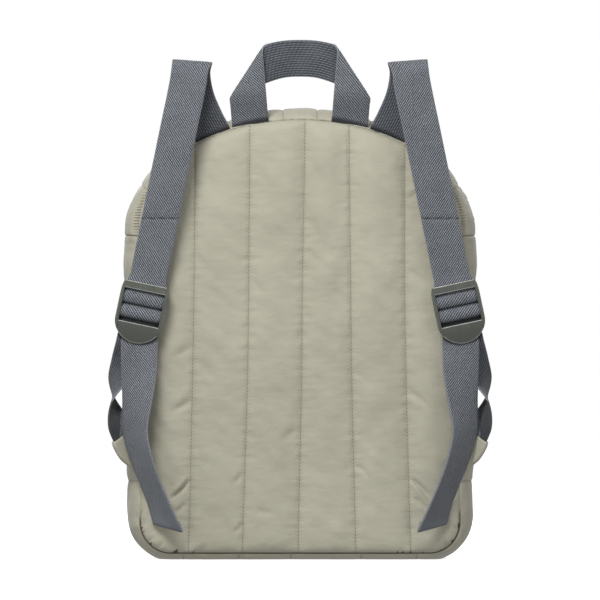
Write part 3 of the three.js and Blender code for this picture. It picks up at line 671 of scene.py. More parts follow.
def sectionsAt(shares):
    wanted = (shares - np.floor(shares)) * loopLength
    place = np.interp(wanted, loopMeasured, places)
    here = pointsOn(silhouette, place)
    ahead, behind = (pointsOn(silhouette, (place + s) % (2 * quarters)) for s in (1e-3, -1e-3))
    along = unit(ahead - behind)
    outward = np.stack([along[:, 1], -along[:, 0]], -1)
    toSeam = []
    loop = pointsOn(seamLine, np.linspace(0, 2 * quarters, 577)[:-1])
    after = np.roll(loop, -1, axis=0)
    for point, tangent, normal in zip(here, along, outward):
        first, second = (loop - point) @ tangent, (after - point) @ tangent
        crossing = np.nonzero((first * second <= 0) & (first != second))[0]
        t = (first[crossing] / (first[crossing] - second[crossing]))[:, None]
        hits = loop[crossing] + (after[crossing] - loop[crossing]) * t
        toSeam.append(np.abs((point - hits) @ normal).min())
    return here, outward, np.array(toSeam)


def gussetPuckers(run, phase, away, d, bulge, g):
    depth, fromSeam, side = d * halfDepth, (1 - np.abs(d)) * halfDepth, np.sign(d)
    line, seed = np.round(phase) * 5.7 + 60, g["seed"]
    pucker = valueNoise(line, depth / 2.4 + 40, seed) + 0.7 * valueNoise(line + 31, depth / 5 + 70, seed + 1)
    nearLine = np.exp(-away / g["puckerReach"]) * smoothStep(away / 1.2)
    gather = valueNoise(run / 3.6 + 400, side * 3 + 20 + fromSeam / 30, seed + 2)
    gather = gather + 0.8 * valueNoise(run / 8.5 + 500, side * 5 + 50 + fromSeam / 40, seed + 3)
    fromMiddle = np.abs(run - loopLength * np.round(run / loopLength))
    corner = smoothStep((fromMiddle - g["corner"][0]) / g["cornerFade"])
    corner = corner * smoothStep((g["corner"][1] - fromMiddle) / g["cornerFade"])
    nearSeam = np.exp(-fromSeam / g["gatherReach"]) * smoothStep(fromSeam / 1.5)
    nearSeam = nearSeam * (1 + g["cornerGather"] * corner)
    ripple = valueNoise(run / 16 + 300, d * 2.2 + 10, seed + 4) * bulge * smoothStep(away / g["rippleReach"])
    detail = g["pucker"] * pucker * nearLine + g["gather"] * gather * nearSeam + g["ripple"] * ripple
    return detail * smoothStep(fromSeam / 2)


# Points of the gusset on a grid of shares round the loop and shares of the half depth
def gussetGrid(shares, depths, below=0.0, plain=False, g=gusset):
    here, outward, toSeam = sectionsAt(shares)
    s, d = np.meshgrid(shares, depths)
    bulge = np.sqrt(np.maximum(0, 1 - np.abs(d) ** g["bulge"]))
    run = s * loopLength
    phase = np.interp(run, creaseRuns, np.arange(len(creaseRuns)))
    away = np.abs(run[..., None] - creaseRuns).min(-1)
    crease = 1 - np.abs(np.sin(math.pi * phase)) ** (g["plainPower"] if plain else g["power"])
    inward = toSeam * (1 - bulge) + g["crease"] * crease * bulge + below
    if not plain:
        inward = inward - gussetPuckers(run, phase, away, d, bulge, g)
    x = here[:, 0] - outward[:, 0] * inward
    z = np.maximum(here[:, 1] - outward[:, 1] * inward, below)
    marks = np.stack([away, d * halfDepth, (1 - np.abs(d)) * halfDepth], -1)
    return np.stack([x, middlePlane + d * halfDepth, z], -1), marks


def channelShares(first, last, steps):
    phases = np.arange((len(creaseRuns) - 1) * steps + 1) / steps
    fine = np.interp(phases, np.arange(len(creaseRuns)), creaseRuns) / loopLength
    inner = fine[(fine > first + 1e-4) & (fine < last - 1e-4)]
    return np.concatenate([[first], inner, [last]])


def makeGusset(name, node, first, last, back, front):
    shares = channelShares(first, last, gusset["channelSteps"])
    rows = max(6, round((front - back) * halfDepth / gusset["depthStep"]))
    depths = back + (front - back) * np.linspace(0, 1, rows + 1)
    ends = np.array(gusset["rimShares"])  # more rows where the strip turns into the seam
    extra = np.concatenate([-ends if back <= -1 else [], ends if front >= 1 else []])
    depths = np.unique(np.concatenate([depths, extra]))
    outer, marks = gussetGrid(shares, depths)
    inner, _ = gussetGrid(shares, depths, bag["wall"], plain=True)
    faces = gridFaces(len(depths), len(shares))
    on = np.nonzero(np.abs(shares[:, None] * loopLength - creaseRuns).min(-1) < onCrease)[0]
    stitchLines.extend(outer[2:-2, i] for i in on if 0 < i < len(shares) - 1)
    vertices, shell = closedShell(outer.reshape(-1, 3), inner.reshape(-1, 3), faces)
    piece = makeMesh(name, vertices, shell)
    flat = marks.reshape(-1, 3)
    addVectors(piece, "stitch", np.vstack([flat, np.full_like(flat, farOff)]))
    dress(piece, nylon, "quilted_nylon", [node])


zipShare = sideCreases[gusset["zipCrease"] - 1] / loopLength
shareGap = bag["gap"] / loopLength
depthGap = bag["gap"] / halfDepth
zipBack = (gusset["zipOffset"] - gusset["zipWidth"] / 2) / halfDepth
zipFront = (gusset["zipOffset"] + gusset["zipWidth"] / 2) / halfDepth
crownFirst, crownLast = zipShare + shareGap, 1 - zipShare - shareGap

makeGusset("gussetLowerCover", "gusset_lower", -zipShare + shareGap, zipShare - shareGap, -1, 1)
makeGusset("gussetUpperRearCover", "gusset_upper_rear", crownFirst, crownLast, -1, zipBack - depthGap)
makeGusset("gussetUpperFrontCover", "gusset_upper_front", crownFirst, crownLast, zipFront + depthGap, 1)
print("gusset made")


# Thread: a small rounded stitch between each pair of needle holes

stitch = {
    "pitch": 2.8, "length": 2.1, "width": 0.42, "sides": 6,
    "facing": (0.3, 0.9, 0.2),  # any direction that no seam follows
    # along the stitch as a share of its length, and its thickness there
    "profile": [(-0.5, 0.3), (-0.32, 0.9), (0, 1.1), (0.32, 0.9), (0.5, 0.3)],
}


def makeStitches(name, paths, material, slotName, s=stitch):
    vertices, faces = [], []
    turn = np.linspace(0, 2 * math.pi, s["sides"], endpoint=False)
    rings = gridFaces(len(s["profile"]), s["sides"], closed=True)
    for path in paths:
        run = runAlong(path)
        marks = np.arange(s["pitch"] / 2, run[-1] - s["pitch"] / 2, s["pitch"])
        at = lambda r: np.stack([np.interp(r, run, path[:, i]) for i in range(3)], -1)
        for middle, along in zip(at(marks), unit(at(marks + 1) - at(marks - 1))):
            side = unit(np.cross(along, s["facing"]))
            up = np.cross(along, side)
            spots = []
            for place, share in s["profile"]:
                centre, radius = middle + along * place * s["length"], share * s["width"] / 2
                spots += [centre + (side * math.cos(a) + up * math.sin(a)) * radius for a in turn]
            addPart(vertices, faces, spots, rings)
    piece = makeMesh(name, vertices, faces)
    return dress(piece, material, slotName, [])


makeStitches("quiltingThread", stitchLines, beigeThread, "quilted_nylon")
print("quilting stitched")


# Webbing: a row is a place on its middle line with the direction of its width. out is the
# distance in front of the rear seam plane, lean turns the width in the plane of the back,
# turn swings its far end towards the wearer and span is a share of the width

webbingSize = {"width": 30.0, "thickness": 2.0, "columns": 18, "step": 1.6, "thinEdge": 0.3, "wear": 0.12}


def widthOf(row):
    lean, turn = math.radians(row.get("lean", 0)), math.radians(row.get("turn", 0))
    span = row.get("span", 1.0)
    aside = span * math.cos(lean)
    return [aside * math.cos(turn), -aside * math.sin(turn), span * math.sin(lean)]


# A centripetal Catmull-Rom curve through points, with the same number of steps to each
def curveThrough(points, knots, values):
    points = np.vstack([2 * points[0] - points[1], points, 2 * points[-1] - points[-2]])
    knots = np.concatenate([[2 * knots[0] - knots[1]], knots, [2 * knots[-1] - knots[-2]]])
    at = np.clip(np.searchsorted(knots, values, side="right") - 1, 1, len(points) - 3)
    t0, t1, t2, t3 = (knots[at + i] for i in (-1, 0, 1, 2))
    p0, p1, p2, p3 = (points[at + i] for i in (-1, 0, 1, 2))

    def blend(a, b, start, end):
        share = ((values - start) / (end - start))[:, None]
        return (1 - share) * a + share * b

    a1, a2, a3 = blend(p0, p1, t0, t1), blend(p1, p2, t1, t2), blend(p2, p3, t2, t3)
    b1, b2 = blend(a1, a2, t0, t2), blend(a2, a3, t1, t3)
    return blend(b1, b2, t1, t2)


# Once round the webbing: places from -1 to 1 across it and how far the surface lies off its middle
def ringOf(size):
    across = np.linspace(-1, 1, size["columns"] + 1)
    lift = size["thickness"] / 2 * (1 - size["thinEdge"] * np.abs(across) ** 6)
    return np.concatenate([across, across[::-1]]), np.concatenate([lift, -lift[::-1]])


def waverOf(size, run, s, seed):
    return size["wear"] * valueNoise(run[:, None] / 9, s[None] * 1.5 + 40, seed)


def ribbonPiece(name, rings, run, size, faceMarks):
    count, sides = rings.shape[:2]
    piece = makeMesh(name, rings, tubeFaces(count, sides))
    s, _ = ringOf(size)
    face = np.repeat(faceMarks, size["columns"] + 1)
    marks = np.broadcast_arrays(s[None] * size["width"] / 2, run[:, None], face[None])
    addVectors(piece, "weave", np.stack(marks, -1))
    return piece


def makeRibbon(name, rows, size=webbingSize, seed=5, under=0.0):
    centres = np.array([[r["x"], rearPlane - r["out"], r["z"]] for r in rows], float)
    halves = np.array([widthOf(r) for r in rows])
    knots = np.concatenate([[0], np.cumsum(np.sqrt(np.linalg.norm(np.diff(centres, axis=0), axis=1)))])
    count = 1 + round(runAlong(centres)[-1] / size["step"])
    fine = np.linspace(knots[0], knots[-1], 6 * count)
    length = runAlong(curveThrough(centres, knots, fine))
    values = np.interp(np.linspace(0, length[-1], count), length, fine)
    line = curveThrough(centres, knots, values)
    half = curveThrough(halves, knots, values) * size["width"] / 2
    run = np.interp(values, fine, length)
    normal = unit(np.cross(unit(np.gradient(line, axis=0)), half))
    s, lift = ringOf(size)
    off = lift[None] + waverOf(size, run, s, seed)
    rings = line[:, None] + half[:, None] * s[None, :, None] + normal[:, None] * off[:, :, None]
    return ribbonPiece(name, rings, run, size, (1, under))


def bothSides(piece, nodeRight):
    other = mirrorOf(piece, piece.name.replace("Left", "Right"))
    return dress(other, piece.data.materials[0], piece["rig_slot"], [nodeRight])


# Buckle frame: up along it and out in front, from the middle of its window

buckle = {
    "side": 128.6, "height": 205.5, "stand": 19.0, "lean": 12.0,
    "windowWidth": 33.8, "windowHeight": 27.2, "rail": 2.7, "topBar": 6.2, "lip": 16.0,
    "plate": 2.0, "plateFront": 4.6, "plateBevel": 0.7, "lipSlope": 2.2, "lipPower": 1.4,
    "back": 3.6, "railIn": 0.4, "railSunk": 0.02, "railBevel": 0.5,
    "barHeight": 6.4, "barThickness": 3.2, "barSet": 1.2, "strapBar": 7.0, "adjusterBar": -5.0,
    "spread": 1.135, "squeeze": 0.72, "crown": 0.8,  # how the webbing fills the window
    "highlightFrom": 0.03, "highlightTo": 0.6,  # depth of the painted highlight round the plate's rim
    "lipSteps": 22, "barSides": 40, "barSteps": 10,
}
buckleAngle = math.radians(buckle["lean"])
clearance = 0.3
thickness = webbingSize["thickness"]
onBar = buckle["barThickness"] / 2 + clearance + thickness / 2
pastBar = buckle["barHeight"] / 2 + clearance + thickness / 2
passing = buckle["plateFront"] - buckle["plate"] - clearance - thickness / 2
layer = thickness + clearance
barSlack = 0.5
edgeGap = 0.6
barSet = buckle["barSet"]
windowTop = buckle["windowHeight"] / 2
halfPlate = buckle["windowWidth"] / 2 + buckle["rail"]


def atBuckle(up, out, **more):
    return {"x": up * math.sin(buckleAngle) - buckle["side"],
            "z": up * math.cos(buckleAngle) + buckle["height"],
            "out": buckle["stand"] + out, "lean": -buckle["lean"], **more}


# How far the lip has sloped back at a height on the plate
def lipDrop(up):
    share = max(0.0, (buckle["rail"] - windowTop - up) / buckle["lip"])
    return buckle["lipSlope"] * share ** buckle["lipPower"]


# Shoulder straps

strap = {
    "root": 70.7, "loopHeight": 60.5, "loopShift": 16.7, "foldDepth": 9.0, "stand": 27.0, "turnBack": 50.0,
    "tuck": 6.5, "sink": 1.4, "seamLean": 18.0, "parting": 6.0,
    "stitched": (278.0, 274.5), "pressed": 0.9, "pressReach": 1.6,  # the crosswise stitching
    # over the fold, as shares: of the rise, of the shift, of the stand, and how many fold depths and
    # how many times the sink behind that, then lean and span
    "fold": [
        (0.02, 0.02, 0, 0, 0.85, 18, 1), (0.25, 0.42, 0.13, 0, 0, 16.2, 1), (0.55, 0.86, 1, 2.2, 0, 10.8, 1),
        (0.86, 1.03, 1, 1.5, 0, 0, 1), (1, 1, 1, 0.75, 0, -4, 1.08), (0.9, 1.12, 1, 0.15, 0, -8, 1),
    ],
    # down the front: shares of the way from the fold to the buckle and of the stand, lean
    "front": [(0.1, 1, -12), (0.34, 1, -10), (0.62, 0.92, -10.5), (0.78, 0.84, -11), (0.9, 0.78, -11.5)],
}
rootSeam = crownSeamHeight(strap["root"])
parting = windowTop + buckle["topBar"] + strap["parting"]
strapEnd = atBuckle(parting, passing - barSlack)
foldTop = {"x": -strap["root"] - strap["loopShift"], "z": rootSeam + strap["loopHeight"]}


def foldRow(rise, shift, stand, depths, sinks, lean, span):
    return {"x": -strap["root"] - strap["loopShift"] * shift, "z": rootSeam + strap["loopHeight"] * rise,
            "out": strap["stand"] * stand - strap["foldDepth"] * depths - strap["sink"] * sinks,
            "lean": lean, "span": span}


def frontRow(along, stand, lean, behind=0.0):
    return {"x": foldTop["x"] + (strapEnd["x"] - foldTop["x"]) * along,
            "z": foldTop["z"] + (strapEnd["z"] - foldTop["z"]) * along,
            "out": strap["stand"] * stand - behind, "lean": lean}


def strapRows():
    wide = {"span": buckle["spread"]}
    up, half = buckle["strapBar"], buckle["barHeight"] / 2
    legLength = math.hypot(foldTop["x"] - strapEnd["x"], foldTop["z"] - strapEnd["z"])
    last = 1 - strap["turnBack"] / legLength
    return [
        {"x": -strap["root"], "z": rootSeam - strap["tuck"],
         "out": -strap["sink"], "lean": strap["seamLean"]},
        *[foldRow(*row) for row in strap["fold"]],
        *[frontRow(*row) for row in strap["front"]],
        strapEnd,
        atBuckle(windowTop + buckle["topBar"] / 2, passing, **wide),
        atBuckle(windowTop - edgeGap, onBar - barSet - 2 * buckle["crown"], **wide),
        atBuckle(up + half / 2, onBar - barSet + buckle["crown"], **wide),
        atBuckle(up - half / 3, onBar - barSet + buckle["crown"], **wide),
        atBuckle(up - half - edgeGap, onBar - barSet - barSlack, **wide),
        atBuckle(up - pastBar - buckle["squeeze"], -barSet, **wide),
        atBuckle(up - half, barSlack - onBar - barSet, **wide),
        atBuckle(up, -onBar - barSet),
        atBuckle(windowTop + thickness, -onBar - barSet),
        atBuckle(parting, passing - 3 * barSlack - layer),
        frontRow(*strap["front"][4], behind=layer),
        frontRow(last, *strap["front"][3][1:], behind=layer),
    ]


def crossStitches(piece, height, columns=webbingSize["columns"]):
    spots = np.array([v.co for v in piece.data.vertices]) / mm
    rings = spots.reshape(-1, 2 * (columns + 1), 3)[:, :columns + 1]
    front = rings[:, columns // 2, 1] < rearPlane - strap["stand"] / 2
    ring = rings[front][np.abs(rings[front][:, columns // 2, 2] - height).argmin()]
    return ring[1:-1] + [0, -0.1, 0]


def pressAcross(piece, height):
    for vertex in piece.data.vertices:
        x, y, z = vertex.co / mm
        if y < rearPlane - strap["stand"] / 2 and abs(x) > strap["root"]:
            vertex.co.y += mm * strap["pressed"] * math.exp(-((z - height) / strap["pressReach"]) ** 2)


# Where light hardly reaches the webbing, and how soon it is out of that shade
shade = {
    "rootAbove": 300, "rootGap": 2.0, "rootSpread": 0.5, "rootDepth": 7.0,
    "rollDepth": 0.4, "rollSpread": 0.8, "sewnSpread": 1.6,
    "lipFrom": -3, "lipTo": 10, "lipSpread": 0.5, "lipStart": 0.5, "tailDepth": 7,
    "loopLow": 94, "loopHigh": 131, "loopEdge": 145.5, "loopTone": 0.6,
}


# How far each part of the webbing lies from painted shade, put where it enters the seam, between
# the rolls in the buckle, at the crosswise stitching, under the lip and inside the strand's loop
def paintedShadeDistance(piece, s=shade):
    spots = np.array([v.co for v in piece.data.vertices]) / mm
    x, out, z = -np.abs(spots[:, 0]), rearPlane - spots[:, 1], spots[:, 2]
    fromSeam = z - np.array([crownSeamHeight(v) for v in x])
    atRoot = np.maximum(0, fromSeam - s["rootGap"]) * s["rootSpread"] + np.maximum(0, out - s["rootDepth"])
    fromSide, fromMiddle = x + buckle["side"], z - buckle["height"]
    up = fromSide * math.sin(buckleAngle) + fromMiddle * math.cos(buckleAngle)
    aside = fromSide * math.cos(buckleAngle) - fromMiddle * math.sin(buckleAngle)
    inRolls = np.maximum(0, out - buckle["stand"] + s["rollDepth"]) * s["rollSpread"]
    below = -windowTop - buckle["lip"] * np.sqrt(np.maximum(0, 1 - (aside / halfPlate) ** 2)) - up
    onTail = (below > s["lipFrom"]) & (below < s["lipTo"]) & (out > buckle["stand"] - s["tailDepth"])
    inLoop = (z > s["loopLow"]) & (z < s["loopHigh"]) & (x < -s["loopEdge"])
    nearest = np.minimum.reduce([
        np.where(z > s["rootAbove"], atRoot, farOff),
        np.where(np.abs(up) < windowTop + 1, inRolls, farOff),
        np.where(out > strap["stand"] / 2, np.abs(z - strap["stitched"][0]) * s["sewnSpread"], farOff),
        np.where(onTail, np.maximum(0, below) * s["lipSpread"] + s["lipStart"], farOff),
        np.where(inLoop, s["loopTone"], farOff),
    ])
    addVectors(piece, "paintedShadeDistance", np.stack([nearest] * 3, -1))


strapLeft = makeRibbon("shoulderStrapLeft", strapRows())
pressAcross(strapLeft, strap["stitched"][0])
paintedShadeDistance(strapLeft)
dress(strapLeft, webbing, "webbing", ["shoulder_strap_left"])
bothSides(strapLeft, "shoulder_strap_right")
crossed = [crossStitches(strapLeft, height) for height in strap["stitched"]]
crossed += [line * [-1, 1, 1] for line in crossed]
makeStitches("strapThread", crossed, greyThread, "webbing")
print("shoulder straps made")


# Adjusters: the strand from the side tab, over the lower bar, and the loose tail

adjuster = {
    "tabHeight": 101.6, "tabReach": 12.5, "tabSeamLength": 31.0, "tabSeamHeight": 84.0, "tabThickness": 4.0,
    "tailDrop": 147.0, "tailSlip": 4.6, "tailShift": 20.0, "tailLean": -8,
    "overBar": 0.4, "behindLip": 1.9,
    "underBar": [(0.8, 0.8), (1.9, -1.5)],  # how far below the lower bar, out
    # share of the lip's length, out, share of the slip
    "underLip": [(0.3125, -1.4, 0.4), (0.875, -1.0, 0.9)],
    # down, sway as a share of the webbing's width, stand as a share of the buckle's, lean, turn, span
    "strand": [
        (0, 0, 0.37, -28, 138, 0.87), (0.14, -0.21, 0.4, -14, 122, 1), (0.38, -0.42, 0.1, -5, 93, 1),
        (0.58, -0.36, 0.05, -6, 62, 1), (0.8, -0.12, 0.4, -10, 26, 1),
    ],
    "tail": [
        (0.14, -0.1, 1.05, -6, 16, 1), (0.3, -0.25, 1.13, -3, 36, 1), (0.46, -0.42, 1.21, 0, 47, 1),
        (0.6, -0.38, 1.22, 2, 52, 1), (0.76, -0.2, 1.08, 4, 56, 1), (0.9, -0.02, 1, -4, 50, 1),
        # the hem, folded to the back
        (1, 0.1, 0.975, -12, 36, 1), (1.01, 0.105, 0.9, -12, 36, 1), (1, 0.1, 0.85, -12, 36, 1),
        (0.955, 0.06, 0.85, -11, 38, 1),
    ],
}
lipEnd = -windowTop - buckle["lip"]
strandTop = atBuckle(lipEnd, -onBar - barSet)
lipExit = atBuckle(lipEnd - thickness, passing - 3.2 * barSlack)
tailTop = {**lipExit, "lean": adjuster["tailLean"], "x": lipExit["x"] + adjuster["tailSlip"]}
tabSeamX = -float(seamHalfWidth(adjuster["tabSeamHeight"]))
tabJoint = {"x": tabSeamX - adjuster["tabReach"], "z": adjuster["tabHeight"]}
tailEnd = {"x": tailTop["x"] + adjuster["tailShift"], "z": tailTop["z"] - adjuster["tailDrop"]}


def hangingRow(start, end, down, sway, stand, lean, turn, span):
    return {"x": start["x"] + (end["x"] - start["x"]) * down + sway * webbingSize["width"],
            "z": start["z"] + (end["z"] - start["z"]) * down,
            "out": buckle["stand"] * stand, "lean": lean, "turn": turn, "span": span}


def lipRow(down, out, slip):
    row = atBuckle(-windowTop - buckle["lip"] * down, out)
    return {**row, "x": row["x"] + adjuster["tailSlip"] * slip}


def adjusterRows():
    down, half = buckle["adjusterBar"], buckle["barHeight"] / 2
    wide = {"span": buckle["spread"]}
    return [
        *[hangingRow(tabJoint, strandTop, *row) for row in adjuster["strand"]],
        strandTop,
        atBuckle(down - 2.5 * half, -onBar - barSet),
        atBuckle(down, -onBar - barSet, **wide),
        atBuckle(down + half, barSlack - onBar - barSet, **wide),
        atBuckle(down + pastBar + buckle["squeeze"], -barSet, **wide),
        atBuckle(down + half + adjuster["overBar"], onBar - barSet - barSlack, **wide),
        atBuckle(down + half / 3, onBar - barSet + buckle["crown"], **wide),
        atBuckle(down - half / 2, onBar - barSet + buckle["crown"], **wide),
        *[atBuckle(down - half - below, out, **wide) for below, out in adjuster["underBar"]],
        atBuckle(-windowTop - edgeGap, -adjuster["behindLip"], **wide),
        *[lipRow(*row) for row in adjuster["underLip"]],
        tailTop,
        *[hangingRow(tailTop, tailEnd, *row) for row in adjuster["tail"]],
    ]


adjusterLeft = makeRibbon("adjusterLeft", adjusterRows(), seed=8, under=0.4)
paintedShadeDistance(adjusterLeft)
dress(adjusterLeft, webbing, "webbing", ["adjuster_left"])
bothSides(adjusterLeft, "adjuster_right")


# Fabric tabs that hold the adjusters in the side seam

tabLook = {
    "columns": 20, "step": 1.2, "wear": 0.25, "rootOut": -2.3, "rootLean": -89,
    # share of the reach, share of the rise, stand as a share of the buckle's, lean, turn, span
    "rows": [
        (0.2, 0, -0.12, -89, 0, 1), (0.42, 0.2, 0.05, -79, 130, 0.86), (0.78, 0.5, 0.21, -55, 134, 0.88),
        (1, 0.88, 0.35, -34, 138, 0.9), (1.04, 1.05, 0.37, -28, 138, 0.9),
    ],
}
tabSize = {**webbingSize, **tabLook,
           "width": adjuster["tabSeamLength"], "thickness": adjuster["tabThickness"]}


def tabRows(t=tabLook):
    low, rise = adjuster["tabSeamHeight"], tabJoint["z"] - adjuster["tabSeamHeight"]
    rows = [{"x": tabSeamX + strap["tuck"], "z": low, "out": t["rootOut"], "lean": t["rootLean"]}]
    for aside, up, stand, lean, turn, span in t["rows"]:
        rows.append({"x": tabSeamX + (tabJoint["x"] - tabSeamX) * aside, "z": low + rise * up,
                     "out": buckle["stand"] * stand, "lean": lean, "turn": turn, "span": span})
    return rows


tabLeft = makeRibbon("strapTabLeft", tabRows(), tabSize)
addVectors(tabLeft, "stitch", np.full((len(tabLeft.data.vertices), 3), farOff))
dress(tabLeft, nylon, "quilted_nylon", ["strap_tab_left"])
tabRight = bothSides(tabLeft, "strap_tab_right")
print("adjusters and tabs made")


# Carry handle

handle = {
    "top": 424.0, "length": 118.0, "archLength": 31.0, "archTurn": 19.5, "topMargin": 0.5,
    # the strip is folded to the front over a slanting line between two places, x and z
    "foldLow": (-58.0, 376.6), "foldHigh": (-31.0, 418.3), "foldRadius": 2.6,
    "step": 1.5, "bandOut": 1.0, "foldOut": 5.0, "outFrom": 4.0, "outReach": 26.0,
    "legMiddle": 41.0, "riseFrom": -2.0, "riseTo": 10.0, "seed": 13,
}


# Wraps points beyond a line from low to high round a roll and lays them back in front
def foldOver(flat, lift, low, high, radius):
    along = unit(high - low)
    across = np.array([-along[1], along[0]])
    begin = -math.pi * radius / 2
    beyond = (flat - low) @ across - begin
    angle = np.clip(beyond / radius, 0, math.pi)
    past = np.maximum(beyond - math.pi * radius, 0)
    shift = begin + np.minimum(beyond, 0) + (radius - lift) * np.sin(angle) - past
    out = radius - (radius - lift) * np.cos(angle)
    folded = low + ((flat - low) @ along)[..., None] * along + shift[..., None] * across
    return folded[..., 0], folded[..., 1], out, angle / math.pi


def makeHandle(h=handle, size=webbingSize):
    run = np.linspace(0, h["length"], round(h["length"] / h["step"]) + 1)
    turn = math.radians(h["archTurn"]) * smoothStep(run / h["archLength"]) + math.pi
    steps = np.diff(run, prepend=0)[:, None] * np.stack([np.cos(turn), np.sin(turn)], -1)
    line = np.array([0, h["top"] - size["width"] / 2 - h["topMargin"]]) + np.cumsum(steps, axis=0)
    aside = np.stack([-np.sin(turn), np.cos(turn)], -1)
    s, lift = ringOf(size)
    flat = line[:, None] - aside[:, None] * (s * size["width"] / 2)[None, :, None]
    lift = lift[None] + waverOf(size, run, s, h["seed"])
    low, high = np.array(h["foldLow"]), np.array(h["foldHigh"])
    x, z, out, front = foldOver(flat, lift, low, high, h["foldRadius"])
    # the band bows out to the folds, and each leg goes back into the seam
    seam, root = crownSeamHeight(h["legMiddle"]), strap["sink"] + 2 * h["foldRadius"]
    rise = smoothStep((z - seam - h["riseFrom"]) / (low[1] - seam + h["riseTo"]))
    bow = (h["foldOut"] - h["bandOut"]) * smoothStep((-x - h["outFrom"]) / h["outReach"])
    band = h["bandOut"] + bow * (1 - front)
    leg = -root + (h["foldOut"] + root) * rise
    base = band + (leg - band) * front
    rings = np.stack([x, rearPlane - base - out, z], -1)
    rings = np.concatenate([rings[1:][::-1] * [-1, 1, 1], rings])
    piece = ribbonPiece("carryHandle", rings, np.concatenate([-run[1:][::-1], run]), size, (0, 1))
    paintedShadeDistance(piece)
    dress(piece, webbing, "webbing", ["carry_handle"])


makeHandle()
print("handle made")


# Buckles: a plate with a window and a D-shaped lip, deep side rails and two bars

sharpAngle = math.radians(32)  # edges of moulded pieces past this angle stay crisp


def quadratic(start, middle, end, steps=8):
    t = np.linspace(0, 1, steps + 1)[:, None]
    start, middle, end = (np.array(p, float) for p in (start, middle, end))
    return (1 - t) ** 2 * start + 2 * t * (1 - t) * middle + t ** 2 * end


def bevelledPlate(outlines, back, front, bevel):
    curve = bpy.data.curves.new("plate", "CURVE")
    curve.dimensions, curve.fill_mode = "2D", "BOTH"
    for points in outlines:
        spline = curve.splines.new("POLY")
        spline.points.add(len(points) - 1)
        for point, (x, y) in zip(spline.points, points):
            point.co = (x, y, 0, 1)
        spline.use_cyclic_u = True
    curve.extrude = (front - back) / 2 - bevel
    curve.bevel_depth, curve.bevel_resolution, curve.offset = bevel, 3, -bevel
    maker = bpy.data.objects.new("plate", curve)
    bpy.context.scene.collection.objects.link(maker)
    mesh = bpy.data.meshes.new_from_object(maker.evaluated_get(bpy.context.evaluated_depsgraph_get()))
    bpy.data.objects.remove(maker)
    mesh.transform(Matrix.Translation((0, 0, (front + back) / 2)))
    return mesh


def roundBar(width, middle, b=buckle):
    sides, steps = b["barSides"], b["barSteps"]
    across = np.linspace(-width / 2, width / 2, steps + 1)
    turn = np.linspace(0, 2 * math.pi, sides, endpoint=False)
    up, out = np.cos(turn) * b["barHeight"] / 2, np.sin(turn) * b["barThickness"] / 2
    rings = np.stack(np.broadcast_arrays(across[:, None], middle + up[None], out[None] - b["barSet"]), -1)
    mesh = bpy.data.meshes.new("bar")
    mesh.from_pydata(rings.reshape(-1, 3).tolist(), [], tubeFaces(steps + 1, sides))
    return mesh


def makeBuckle(b=buckle):
    side, top = b["windowWidth"] / 2, windowTop + b["topBar"]
    curve = quadratic((side, top), (halfPlate, top), (halfPlate, windowTop / 2))
    turn = np.linspace(0, math.pi / 2, b["lipSteps"])
    lip = b["rail"] - windowTop - (b["lip"] + b["rail"]) * np.sin(turn)
    right = np.vstack([curve, np.stack([halfPlate * np.cos(turn), lip], -1)])
    outline = np.vstack([right, right[:-1][::-1] * [-1, 1]])
    window = np.array([(-side, -windowTop), (side, -windowTop), (side, windowTop), (-side, windowTop)])
    outer = right[right[:, 0] >= side - 1e-6]
    railSide, railFront = side - b["railIn"], b["plateFront"] - b["railSunk"]
    rail = np.vstack([outer, [(railSide, outer[-1][1] - b["railIn"] / 2), (railSide, top)]])
    plate = bevelledPlate([outline, window], b["plateFront"] - b["plate"], b["plateFront"], b["plateBevel"])
    for vertex in plate.vertices:
        vertex.co.z -= lipDrop(vertex.co.y)
    rails = [bevelledPlate([line], -b["back"], railFront, b["railBevel"]) for line in (rail, rail * [-1, 1])]
    bars = [roundBar(2 * halfPlate - b["rail"], height) for height in (b["strapBar"], b["adjusterBar"])]
    turned = Matrix.Rotation(buckleAngle, 4, "Y") @ Matrix.Rotation(math.pi / 2, 4, "X")
    place = Matrix.Translation((-b["side"], rearPlane - b["stand"], b["height"])) @ turned
    vertices, faces, highlightAndShade = [], [], []
    for mesh in (plate, *rails, *bars):
        for v in mesh.vertices:
            # the plate's rims take a painted highlight, and places further down the lip more painted shade
            depth = b["plateFront"] - lipDrop(v.co.y) - v.co.z
            rim = float(mesh is plate and b["highlightFrom"] < depth < b["highlightTo"])
            low = min(1.0, max(0.0, (-windowTop - v.co.y) / b["lip"]))
            highlightAndShade.append((rim, low ** 0.5, 0))
        spots = [tuple(place @ v.co) for v in mesh.vertices]
        addPart(vertices, faces, spots, [f.vertices for f in mesh.polygons])
        bpy.data.meshes.remove(mesh)
    piece = makeMesh("buckleLeft", vertices, faces)
    addVectors(piece, "highlightAndShade", highlightAndShade)
    piece.data.set_sharp_from_angle(angle=sharpAngle)
    return dress(piece, plastic, "buckle_plastic", ["buckle_left"])


bothSides(makeBuckle(), "buckle_right")
print("buckles made")


# Zip: two tapes with a row of moulded teeth between them, a slider and its pull

zipLook = {
    "recess": 1.4, "thickness": 2.4, "rows": 9, "channelSteps": 12,
    "toothPitch": 2.6, "toothLength": 1.5, "toothWidth": 2.2, "toothHeight": 1.6, "toothTaper": 0.75,
    "toothAside": 0.7, "toothRise": 0.2,
    # length, width and thickness of the slider's body, the bridge on it and its pull, with their bevels
    "body": ((12.0, 8.0, 2.88), 0.5), "bridge": ((6.0, 2.0, 1.6), 0.4), "pull": ((22.0, 5.0, 1.6), 0.4),
    "bodyOut": 0.3, "bridgeOut": 1.5, "pullOut": 0.75, "pullHang": 0.45,
}
zipMiddle = np.array([(zipBack + zipFront) / 2])


